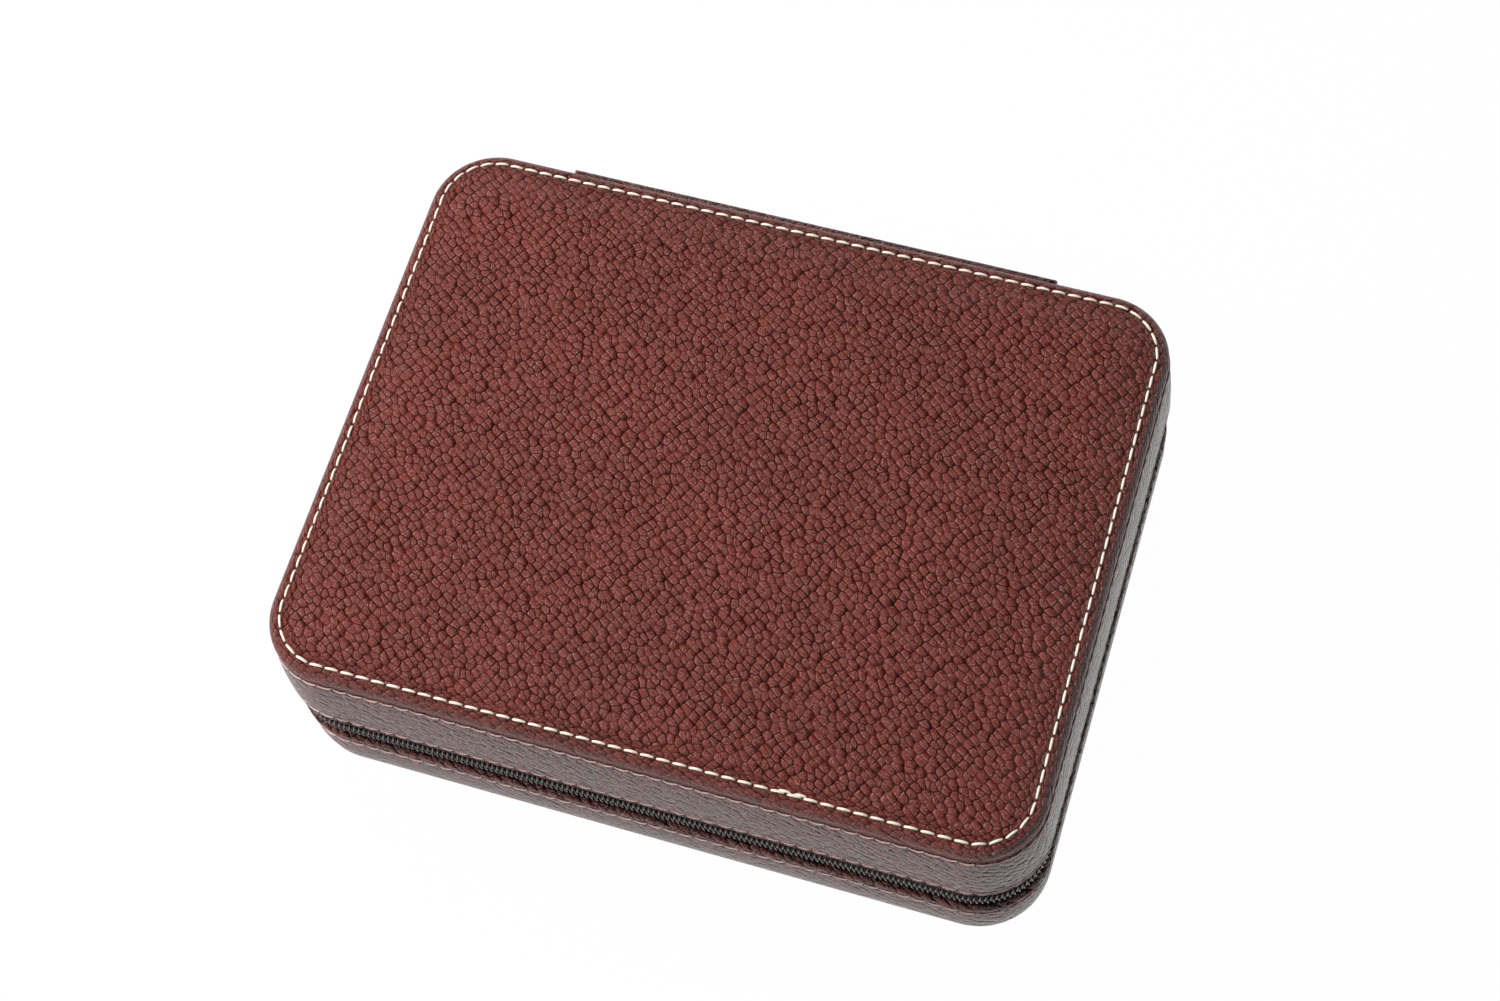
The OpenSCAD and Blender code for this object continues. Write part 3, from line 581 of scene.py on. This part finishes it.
def thread_finish(name, pale, dark, roughness):
    """Spun thread with a little fuzz, painted dark as shade where a stitch goes into its needle hole."""
    material, place = start_finish(name)
    fuzz = place.noise(2600.0, 2.0)
    spun = fuzz.smooth(0.3, 0.5).colours(dark, pale)
    in_hole = place.node("Attribute", {"attribute_name": "in_hole"}, out=2)
    place.surface({
        # Painted shade: near black where the thread sinks into its needle hole
        "Base Color": in_hole.smooth(0.1, 0.6).colours(spun, (0.012, 0.003, 0.003, 1)),
        "Roughness": fuzz.smooth(0.2, 0.8, roughness, roughness + 0.15),
        "Sheen Weight": 0.15,
        "Normal": fuzz.bumped(0.0001, 0.5),
    })
    return material


def behind_spine(x, y, angle, height):
    """The spine is glued over the back, so no row shows there below the lid's shoulder."""
    return y > 0 and abs(x) < spine_end and np.sin(angle) > 0.9 and height < lid_shoulder_z


def sew(name, body, stitch, row, depth, height, face_up, material, doubled=()):
    """Lays a stitch between each two needle holes of a row, and joins them into one piece. Doubled
    stitches come on top: how far along each lies, and how far beside the row."""
    count = round(row_length(row) / stitch_pitch)
    stitches = [((k + 0.5) / count * row_length(row), 0.0) for k in range(count)]
    laid = []
    for s, aside in stitches + list(doubled):
        x, y, angle = round_case(s, row)
        if not face_up and behind_spine(x, y, angle, height):
            continue
        out = corner_r - depth - aside
        along = Vector((-np.sin(angle), np.cos(angle), 0))
        outward = Vector((np.cos(angle), np.sin(angle), 0))
        face = Vector((0, 0, 1)) if face_up else outward
        along = Matrix.Rotation(stitch_slant, 3, face) @ along
        side = face.cross(along)
        at = Vector((x, y, height)) + outward * out
        copy = stitch.copy()
        copy.data = stitch.data.copy()
        copy.data.transform(Matrix((
            (along.x, side.x, face.x, at.x),
            (along.y, side.y, face.y, at.y),
            (along.z, side.z, face.z, at.z),
            (0, 0, 0, 1))))
        bpy.context.collection.objects.link(copy)
        laid.append(copy)
    bpy.ops.object.select_all(action="DESELECT")
    for copy in laid:
        copy.select_set(True)
    bpy.context.view_layer.objects.active = laid[0]
    bpy.ops.object.join()
    row_piece = bpy.context.object
    row_piece.name = row_piece.data.name = name
    put_on(row_piece, material)
    # The thread is polyester, as the zip's tape is
    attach(row_piece, body)


cream_thread = thread_finish("cream_thread", (0.92, 0.87, 0.74, 1), (0.74, 0.66, 0.50, 1), 0.6)
rose_thread = thread_finish("rose_thread", (0.74, 0.52, 0.48, 1), (0.42, 0.22, 0.19, 1), 0.4)
cream_stitch = make_stitch(0.00505, 0.00038, arch=0.00075, sag=0.0, hole_from=0.8)
rose_stitch = make_stitch(0.0051, 0.00026, arch=0.0002, sag=0.0007, hole_from=0.97)

# The cream row was closed by sewing back over its last two stitches, right of the front's middle
arc_at_row = pi / 2 * (corner_r - top_row)
front_middle = core_x + 2 * core_y + 2 * arc_at_row + core_x
back_stitches = [(front_middle + x, 0.0006) for x in (0.0478, 0.0527)]
sew("cream_stitches", "lid", cream_stitch, top_row, top_row, edge_z - 0.00012, True,
    cream_thread, back_stitches)
sew("seam_stitches", "lid", rose_stitch, lid_top_d, lid_top_d - 0.0001, seam_z, False, rose_thread)
sew("lid_rim_stitches", "lid", rose_stitch, lid_row, lid_row - 0.0002, lid_row_z, False, rose_thread)
sew("base_rim_stitches", "base", rose_stitch, base_row, base_row - 0.0002, base_row_z, False, rose_thread)
bpy.data.objects.remove(cream_stitch)
bpy.data.objects.remove(rose_stitch)

# ------------------------------------------------------------------ underside
# The case stands on one flat panel of leatherette, its edge rubbed round, glued to the board.

under_low, under_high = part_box("bottom_leather")
under_t = under_high.z - under_low.z
bpy.ops.mesh.primitive_plane_add(size=1, location=(0, 0, under_low.z))
underside = bpy.context.object
underside.name = underside.data.name = "bottom_panel"
underside.scale = (2 * under_high.x, 2 * under_high.y, 1)
bpy.ops.object.transform_apply(location=True, scale=True)
bpy.ops.object.mode_set(mode="EDIT")
bpy.ops.mesh.select_all(action="SELECT")
bpy.ops.mesh.bevel(offset=corner_r - (base_high.x - under_high.x), segments=20, affect="VERTICES")
bpy.ops.mesh.select_all(action="SELECT")
bpy.ops.mesh.extrude_region_move(TRANSFORM_OT_translate={"value": (0, 0, under_t)})
bpy.ops.mesh.select_all(action="SELECT")
bpy.ops.mesh.normals_make_consistent(inside=False)
bpy.ops.object.mode_set(mode="OBJECT")
points = read_points(underside)
mark_cut(underside, points[:, 0], points[:, 1])
rubbed = underside.modifiers.new("rubbed", "BEVEL")
rubbed.width, rubbed.segments = 0.0005, 3
rubbed.limit_method, rubbed.angle_limit = "ANGLE", radians(50)
bpy.ops.object.modifier_apply(modifier="rubbed")
bpy.ops.object.shade_smooth_by_angle(angle=radians(50))
put_on(underside, taut_leather)
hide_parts("bottom_leather")
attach(underside, "base")

# ------------------------------------------------------------------ velvet inside
# Charcoal velvet lines both halves. It covers the boards, the tray's frame and the dividers.

velvet_finish, place = start_finish("charcoal_velvet")
pile = place.noise(2200.0, 2.0)
brushed = place.noise(45.0, 3.0, 0.6)
nap = brushed.smooth(0.35, 0.65) * 0.6 + pile * 0.4
place.surface({
    "Base Color": nap.colours((0.022, 0.020, 0.023, 1), (0.060, 0.055, 0.062, 1)),
    "Roughness": 0.92 - nap * 0.1,
    "Sheen Weight": 0.5,
    "Sheen Roughness": 0.35,
    "Normal": pile.bumped(0.0002, 0.6),
})
for node in ("base_lining", "lid_lining", "tray_frame", "long_divider",
             "cross_divider_1", "cross_divider_2", "cross_divider_3"):
    put_on(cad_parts[node], velvet_finish)

# ------------------------------------------------------------------ watch pillows
# Eight soft blocks, one in each compartment, for a strap to close round. Velvet is stretched over
# soft foam and sewn in a seam round the middle, which draws the sides in.

blow_frames = 20


def merged_copy(node, name):
    """A copy of a CAD node's mesh with its loose triangles joined up."""
    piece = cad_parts[node].copy()
    piece.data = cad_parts[node].data.copy()
    piece.parent = None
    piece.matrix_world = Matrix.Identity(4)
    for key in list(piece.keys()):
        del piece[key]
    piece.name = piece.data.name = name
    bpy.context.collection.objects.link(piece)
    bpy.ops.object.select_all(action="DESELECT")
    piece.select_set(True)
    bpy.context.view_layer.objects.active = piece
    bpy.ops.object.mode_set(mode="EDIT")
    bpy.ops.mesh.select_all(action="SELECT")
    bpy.ops.mesh.remove_doubles(threshold=1e-6)
    bpy.ops.object.mode_set(mode="OBJECT")
    return piece


def stuff(piece, voxel, cap, shrink, glued=None):
    """Fills a form: remeshed a little small, blown up as cloth, and held to a cap on each move.
    Where glued is true of a point, the cloth doesn't move."""
    points = read_points(piece)
    middle = (points.min(0) + points.max(0)) / 2
    write_points(piece, middle + (points - middle) * shrink)
    remesh = piece.modifiers.new("remesh", "REMESH")
    remesh.mode, remesh.voxel_size = "VOXEL", voxel
    bpy.ops.object.modifier_apply(modifier="remesh")
    rest = read_points(piece)
    cloth = piece.modifiers.new("cloth", "CLOTH")
    cloth.settings.use_pressure = True
    cloth.settings.uniform_pressure_force = 4
    cloth.settings.effector_weights.gravity = 0
    cloth.point_cache.frame_start, cloth.point_cache.frame_end = 1, blow_frames
    if glued is not None:
        held = piece.vertex_groups.new(name="glued")
        held.add([int(i) for i in np.nonzero(glued(rest))[0]], 1.0, "REPLACE")
        cloth.settings.vertex_group_mass = "glued"
    for step in range(1, blow_frames + 1):
        bpy.context.scene.frame_set(step)
    blown = read_points(piece.evaluated_get(bpy.context.evaluated_depsgraph_get()))
    piece.modifiers.remove(cloth)
    bpy.context.scene.frame_set(1)
    move = blown - rest
    length = np.linalg.norm(move, axis=1, keepdims=True)
    write_points(piece, rest + move * np.minimum(1, cap / np.maximum(length, 1e-9)))
    fine = piece.modifiers.new("fine", "SUBSURF")
    fine.levels = fine.render_levels = 1
    bpy.ops.object.modifier_apply(modifier="fine")
    bpy.ops.object.shade_smooth()


pillow = merged_copy("watch_pillow_1", "watch_pillow")
stuff(pillow, voxel=0.0035, cap=0.003, shrink=0.95)
pillow_seam_depth = 0.0019
pillow_seam_width = 0.0019
pillow_seam_drop = 0.001
points = read_points(pillow)
middle = (points.min(0) + points.max(0)) / 2
beside = (points[:, 2] - middle[2] + pillow_seam_drop) / pillow_seam_width
turn = np.arctan2(points[:, 1] - middle[1], (points[:, 0] - middle[0]) * 1.6)
pucker = 1 + 0.3 * np.sin(turn * 38) + 0.2 * np.sin(turn * 61 + 1.0)
draw = pillow_seam_depth * np.exp(-beside ** 2) * pucker
outward = points[:, :2] - middle[:2]
outward /= np.linalg.norm(outward, axis=1, keepdims=True) + 1e-9
points[:, :2] -= outward * draw[:, None]
write_points(pillow, points)
put_on(pillow, velvet_finish)
for i in range(1, 9):
    node = "watch_pillow_%d" % i
    home_low, home_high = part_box(node)
    home = (home_low + home_high) / 2
    copy = pillow.copy()
    copy.data = pillow.data.copy()
    copy.name = copy.data.name = "stuffed_pillow_%d" % i
    flip = 1 if i % 2 else -1
    placed = read_points(copy)
    placed[:, :2] = (placed[:, :2] - middle[:2]) * flip + np.array(home[:2])
    write_points(copy, placed)
    bpy.context.collection.objects.link(copy)
    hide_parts(node)
    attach(copy, "base")
bpy.data.objects.remove(pillow)

# ------------------------------------------------------------------ zip tapes
# Each half of the zip is a black polyester tape in a herringbone weave. It is sewn in under the
# rim of its half of the case and runs all round but for the spine.

tape_t = 0.0005
tape_start = spine_end - 0.0016

tape_finish, place = start_finish("woven_tape")
# On the tape's own map both ways run from 0 to 1
on_tape = place.node("TexCoord", out=2)
along_tape = on_tape.node("SeparateXYZ", sockets={0: on_tape}, out=0)
across_tape = on_tape.node("SeparateXYZ", sockets={0: on_tape}, out=1)
ribs = across_tape.wave(26)
picks = along_tape.wave(1500)
lint = place.noise(1800.0, 3.0)
place.surface({
    "Base Color": lint.colours((0.006, 0.006, 0.007, 1), (0.026, 0.025, 0.027, 1)),
    "Roughness": 0.72 + lint * 0.15,
    "Sheen Weight": 0.1,
    "Normal": (ribs * 0.5 + picks * ribs * 0.5).bumped(0.0002, 0.5),
})


def lay_tape(node, body, name):
    """A strip of tape round the case from one side of the spine to the other."""
    low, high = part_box(node)
    tape_d = base_high.y + low.y
    length = row_length(tape_d) - 2 * tape_start
    bpy.ops.mesh.primitive_grid_add(x_subdivisions=520, y_subdivisions=6, size=1)
    tape = bpy.context.object
    tape.name = tape.data.name = name
    points = read_points(tape)
    x, y, angle = round_case(tape_start + (points[:, 0] + 0.5) * length, tape_d)
    radius = corner_r - tape_d
    height = low.z + (points[:, 1] + 0.5) * (high.z - low.z)
    write_points(tape, np.stack([x + np.cos(angle) * radius, y + np.sin(angle) * radius, height], axis=1))
    wall = tape.modifiers.new("wall", "SOLIDIFY")
    wall.thickness, wall.offset = tape_t, -1
    bpy.ops.object.modifier_apply(modifier="wall")
    bpy.ops.object.shade_smooth_by_angle(angle=radians(40))
    put_on(tape, tape_finish)
    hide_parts(node)
    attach(tape, body)


lay_tape("zip_tape_base", "base", "lower_tape")
lay_tape("zip_tape_lid", "lid", "upper_tape")

# ------------------------------------------------------------------ zip coils
# A nylon thread is wound into a flat coil and sewn to each tape's edge. The turns of one half
# lock between those of the other; behind the slider the halves are parted.

# The chain lies between the rims at this height, and begins this far round from the back's middle
zip_z = 0.031
coil_start = 0.0846
tooth_pitch = 0.00169
wire_r = 0.00031
turn_points = 12
coil_low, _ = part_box("zip_coil_base")
slider_low, slider_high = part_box("slider_body")
slider_y = (slider_low.y + slider_high.y) / 2
chain_d = coil_low.x + base_high.x
coil_depth = 0.00195
coil_row = chain_d + coil_depth / 2
coil_total = row_length(coil_row)
left_start = core_x + pi / 2 * (corner_r - coil_row) + core_y
coil_aside = 0.0015
coil_reach = 0.00167
spread = 0.0009
spread_over = 0.0065
spread_in_slider = 0.002
slider_reach = 0.0064
slider_gap = 0.0009

coil_finish, place = start_finish("nylon_coil")
scuffs = place.noise(900.0, 3.0)
place.surface({
    "Base Color": scuffs.colours((0.022, 0.016, 0.016, 1), (0.075, 0.055, 0.055, 1)),
    "Roughness": 0.14 + scuffs * 0.16,
    "Specular IOR Level": 0.8,
})


def wind_coil(name, body, spans, half, replaced):
    """Winds stretches of one half of the coil, each from one distance along the row to another.

    A turn is drawn out flat, and its far end swells a little where it locks. The two halves' turns
    lie half a tooth apart.
    """
    line = bpy.data.curves.new(name, "CURVE")
    line.dimensions, line.use_fill_caps = "3D", True
    line.bevel_depth, line.bevel_resolution = wire_r, 1
    offset = 0.25 if half < 0 else 0.75
    for first, last in spans:
        whole = np.ceil(first / tooth_pitch), np.floor(last / tooth_pitch)
        turns = np.arange(whole[0] * turn_points, whole[1] * turn_points + 1) / turn_points
        around = turns * 2 * pi
        s = (turns + offset - 0.5) * tooth_pitch
        reach = np.sign(np.cos(around)) * np.abs(np.cos(around)) ** 0.75
        sink_in = np.sign(np.sin(around)) * np.abs(np.sin(around)) ** 0.75
        depth = coil_row - sink_in * (coil_depth / 2 - wire_r)
        parting = np.clip((left_start - s - slider_y + spread_in_slider) / spread_over, 0, 1)
        parting = parting * parting * (3 - 2 * parting) * spread
        x, y, angle = round_case(s, coil_row)
        z = zip_z + half * (coil_aside - reach * coil_reach + parting)
        spline = line.splines.new("POLY")
        spline.points.add(len(s) - 1)
        out = corner_r - depth
        rows = np.stack([x + np.cos(angle) * out, y + np.sin(angle) * out, z, np.ones_like(s)], axis=1)
        spline.points.foreach_set("co", rows.ravel())
        spline.points.foreach_set("radius", 1 + 0.12 * np.clip(reach, 0, 1) ** 3)
    coil = bpy.data.objects.new(name, line)
    bpy.context.collection.objects.link(coil)
    bpy.ops.object.select_all(action="DESELECT")
    coil.select_set(True)
    bpy.context.view_layer.objects.active = coil
    bpy.ops.object.convert(target="MESH")
    coil = bpy.context.object
    bpy.ops.object.shade_smooth()
    put_on(coil, coil_finish)
    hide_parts(replaced)
    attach(coil, body)


coil_end = coil_total - coil_start
rear_of_slider = left_start - slider_y - slider_reach
front_of_slider = left_start - slider_y + slider_reach
inside_slider = (rear_of_slider + slider_gap, front_of_slider - slider_gap)
wind_coil("lower_coil", "base", [(coil_start, coil_end)], -1, "zip_coil_base")
wind_coil("upper_coil", "lid", [(coil_start, rear_of_slider), (front_of_slider, coil_end)], 1,
          "zip_coil_lid")
wind_coil("locked_turns", "base", [inside_slider], 1, "zip_joined_teeth")

# ------------------------------------------------------------------ spine
# A wide strip of leatherette is glued to both halves across the back, with a fold in it between
# them at the hinge. A velvet strip covers the fold inside.

spine_low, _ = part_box("spine_base")
_, spine_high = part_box("spine_lid")


def smooth_path(corners, step):
    """Evenly spaced points along a soft line through [y, z] corners."""
    corners = np.array(corners)
    for _ in range(3):
        near = corners[:-1] * 0.75 + corners[1:] * 0.25
        far = corners[:-1] * 0.25 + corners[1:] * 0.75
        pairs = np.stack([near, far], axis=1).reshape(-1, 2)
        corners = np.vstack([corners[:1], pairs, corners[-1:]])
    lengths = length_along(corners)
    count = int(round(lengths[-1] / step))
    s = np.linspace(0, lengths[-1], count + 1)
    return np.stack([np.interp(s, lengths, corners[:, k]) for k in (0, 1)], axis=1), lengths[-1]


def fold_over(name, path, half_x, round_r, thickness, step):
    """A sheet along x whose section follows the path, with rounded ends, then given its wall."""
    rows = len(path)
    columns = int(2 * half_x / step)
    bpy.ops.mesh.primitive_grid_add(x_subdivisions=columns, y_subdivisions=rows - 1, size=1)
    sheet = bpy.context.object
    sheet.name = sheet.data.name = name
    points = read_points(sheet)
    at = np.clip(np.round((points[:, 1] + 0.5) * (rows - 1)).astype(int), 0, rows - 1)
    run = length_along(path)
    from_end = np.minimum(run[at], run[-1] - run[at])
    chord = np.sqrt(np.maximum(0, round_r ** 2 - (round_r - from_end) ** 2))
    trim = np.where(from_end < round_r, round_r - chord, 0)
    write_points(sheet, np.stack([points[:, 0] * 2 * (half_x - trim), path[at, 0], path[at, 1]], axis=1))
    if sheet.data.polygons[columns * (rows // 4)].normal.y < 0:
        sheet.data.flip_normals()
    mark_cut(sheet, points[:, 0] * 2 * half_x, run[at])
    wall = sheet.modifiers.new("wall", "SOLIDIFY")
    wall.thickness, wall.offset = thickness, -1
    bpy.ops.object.modifier_apply(modifier="wall")
    bpy.ops.object.shade_smooth_by_angle(angle=radians(60))
    return sheet


spine_y = 0.09872
spine_path, spine_length = smooth_path([
    (0.0972, spine_low.z), (0.0984, spine_low.z), (spine_y, 0.005), (spine_y, 0.0215),
    (0.0983, 0.0238), (0.0983, 0.0385), (spine_y, 0.0415), (spine_y, 0.0520), (0.0982, 0.0630),
    (0.0973, spine_high.z - 0.0008), (0.0962, spine_high.z), (0.0952, spine_high.z)], step=0.0012)
spine = fold_over("spine_panel", spine_path, spine_high.x, round_r=0.004, thickness=0.001, step=0.0015)
put_on(spine, loose_leather)
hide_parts("spine_base", "spine_lid")
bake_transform(spine)

strip_low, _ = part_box("spine_lining_base")
_, strip_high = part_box("spine_lining_lid")
strip_y = 0.0934
strip_path, strip_length = smooth_path([
    (strip_y, strip_low.z), (strip_y, 0.0236), (0.0962, 0.0262), (0.0967, 0.0310), (0.0962, 0.0366),
    (strip_y, 0.0394), (strip_y, strip_high.z)], step=0.0009)
strip = fold_over("spine_velvet", strip_path, strip_high.x, round_r=0.0005, thickness=0.0006, step=0.002)
put_on(strip, velvet_finish)
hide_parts("spine_lining_base", "spine_lining_lid")
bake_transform(strip)

# ------------------------------------------------------------------ lid's cushion
# A flat velvet cushion inside the lid holds the watches down. Its top face is glued to the lining.

cushion_low, cushion_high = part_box("lid_cushion")
glue_depth = 0.0012
hang = 0.001
cushion = merged_copy("lid_cushion", "stuffed_lid_cushion")
stuff(cushion, voxel=0.0045, cap=0.0025, shrink=0.985,
      glued=lambda at: at[:, 2] > cushion_high.z - glue_depth)
points = read_points(cushion)
points[:, 2] = np.clip(points[:, 2], cushion_low.z - hang, cushion_high.z)
write_points(cushion, points)
put_on(cushion, velvet_finish)
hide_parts("lid_cushion")
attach(cushion, "lid")

# ------------------------------------------------------------------ slider, pull and stops
# Cast zinc with a nickel finish: two plates joined at the nose, a bridge over the pull's bar, and
# a pull with an oblong hole. Stops are clamped over the ends of the chain.

metal_finish, place = start_finish("nickel_zinc")
cast = place.noise(1400.0, 4.0)
handled = place.noise(160.0, 3.0)
place.surface({
    "Base Color": handled.colours((0.50, 0.49, 0.48, 1), (0.66, 0.65, 0.63, 1)),
    "Metallic": 1.0,
    "Roughness": 0.2 + handled * 0.2,
    "Normal": cast.bumped(0.00005, 0.15),
})
for node, body, width in (
        ("slider_body", "slider", 0.00028), ("slider_back_plate", "slider", 0.00022),
        ("slider_bridge", "slider", 0.00035), ("pull_tab", "pull", 0.0003),
        ("zip_stops_base", "base", 0.0001), ("zip_stops_lid", "lid", 0.0001)):
    cast_piece = merged_copy(node, node + "_cast")
    flat = cast_piece.modifiers.new("flat", "DECIMATE")
    flat.decimate_type, flat.angle_limit = "DISSOLVE", radians(1)
    bpy.ops.object.modifier_apply(modifier="flat")
    eased = cast_piece.modifiers.new("eased", "BEVEL")
    eased.width, eased.segments, eased.use_clamp_overlap = width, 3, True
    eased.limit_method, eased.angle_limit = "ANGLE", radians(35)
    bpy.ops.object.modifier_apply(modifier="eased")
    bpy.ops.object.shade_smooth_by_angle(angle=radians(35))
    put_on(cast_piece, metal_finish)
    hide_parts(node)
    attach(cast_piece, body)

# ------------------------------------------------------------------ studio
# A plain pale floor in a white room. Three soft lamps: the key at the left, one high behind the
# left corner whose sheen shows on the lid, and a weak one low in front.

bpy.ops.mesh.primitive_plane_add(size=8, location=(0, 0, -0.0001))
floor = bpy.context.object
floor.name = "floor"
bpy.ops.object.transform_apply(location=True)
floor_finish, place = start_finish("pale_floor")
# Seen straight or in a mirror the floor glows white, and it lights the case as paper does
paper = place.node("BsdfDiffuse", sockets={"Color": (0.9, 0.9, 0.9, 1)})
glow = place.node("Emission", sockets={"Color": (1, 1, 1, 1), "Strength": 1.0})
seen = place.node("LightPath", out=0)
mirrored = place.node("LightPath", out=3)
through = place.node("LightPath", out=6)
glow_share = 0.985
shown = seen.maths("MAXIMUM", seen.maths("MAXIMUM", seen, mirrored), through) * glow_share
mixed = place.node("MixShader", sockets={0: shown, 1: paper, 2: glow})
place.node("OutputMaterial", sockets={"Surface": mixed})
put_on(floor, floor_finish)

# The camera stands where the photograph was taken from
camera_data = bpy.data.cameras.new("camera")
camera_data.sensor_width = 36
camera_data.lens = 62.95
camera = bpy.data.objects.new("camera", camera_data)
bpy.context.collection.objects.link(camera)
azimuth, elevation, roll = radians(28.09), radians(66.33), radians(-11.90)
distance = 0.8108
slope = np.cos(elevation)
back = Vector((np.sin(azimuth) * slope, -np.cos(azimuth) * slope, np.sin(elevation)))
level = Vector((0, 0, 1)).cross(back).normalized()
upright = back.cross(level)
right = level * np.cos(roll) + upright * np.sin(roll)
up = upright * np.cos(roll) - level * np.sin(roll)
target = Vector((0.0105, -0.0036, edge_z))
eye = target + back * distance
camera.matrix_world = Matrix((
    (right.x, up.x, back.x, eye.x),
    (right.y, up.y, back.y, eye.y),
    (right.z, up.z, back.z, eye.z),
    (0, 0, 0, 1)))
bpy.context.scene.camera = camera

world = bpy.data.worlds.new("studio")
bpy.context.scene.world = world
world.use_nodes = True
sky = Wire(world.node_tree)
world.node_tree.nodes.clear()
room = sky.node("Background", sockets={"Color": (1, 1, 1, 1), "Strength": 0.12})
backdrop = sky.node("Background", sockets={"Color": (1, 1, 1, 1), "Strength": 1.0})
straight = sky.node("LightPath", out=0)
white_room = sky.node("MixShader", sockets={0: straight, 1: room, 2: backdrop})
sky.node("OutputWorld", sockets={"Surface": white_room})
bpy.context.scene.view_settings.view_transform = "Standard"


def softbox(name, place_at, size, power):
    """A square lamp that points at the case."""
    lamp = bpy.data.lights.new(name, "AREA")
    lamp.size = size
    lamp.energy = power
    lamp_object = bpy.data.objects.new(name, lamp)
    bpy.context.collection.objects.link(lamp_object)
    lamp_object.location = place_at
    case_middle = Vector((0, 0, 0.05))
    lamp_object.rotation_euler = (Vector(place_at) - case_middle).to_track_quat("Z", "Y").to_euler()


softbox("key", (-1.0, -0.14, 0.92), size=0.6, power=20)
softbox("overhead", (-0.62, 0.62, 1.15), size=0.45, power=8.5)
softbox("front", (-0.35, -1.25, 0.38), size=0.6, power=4)
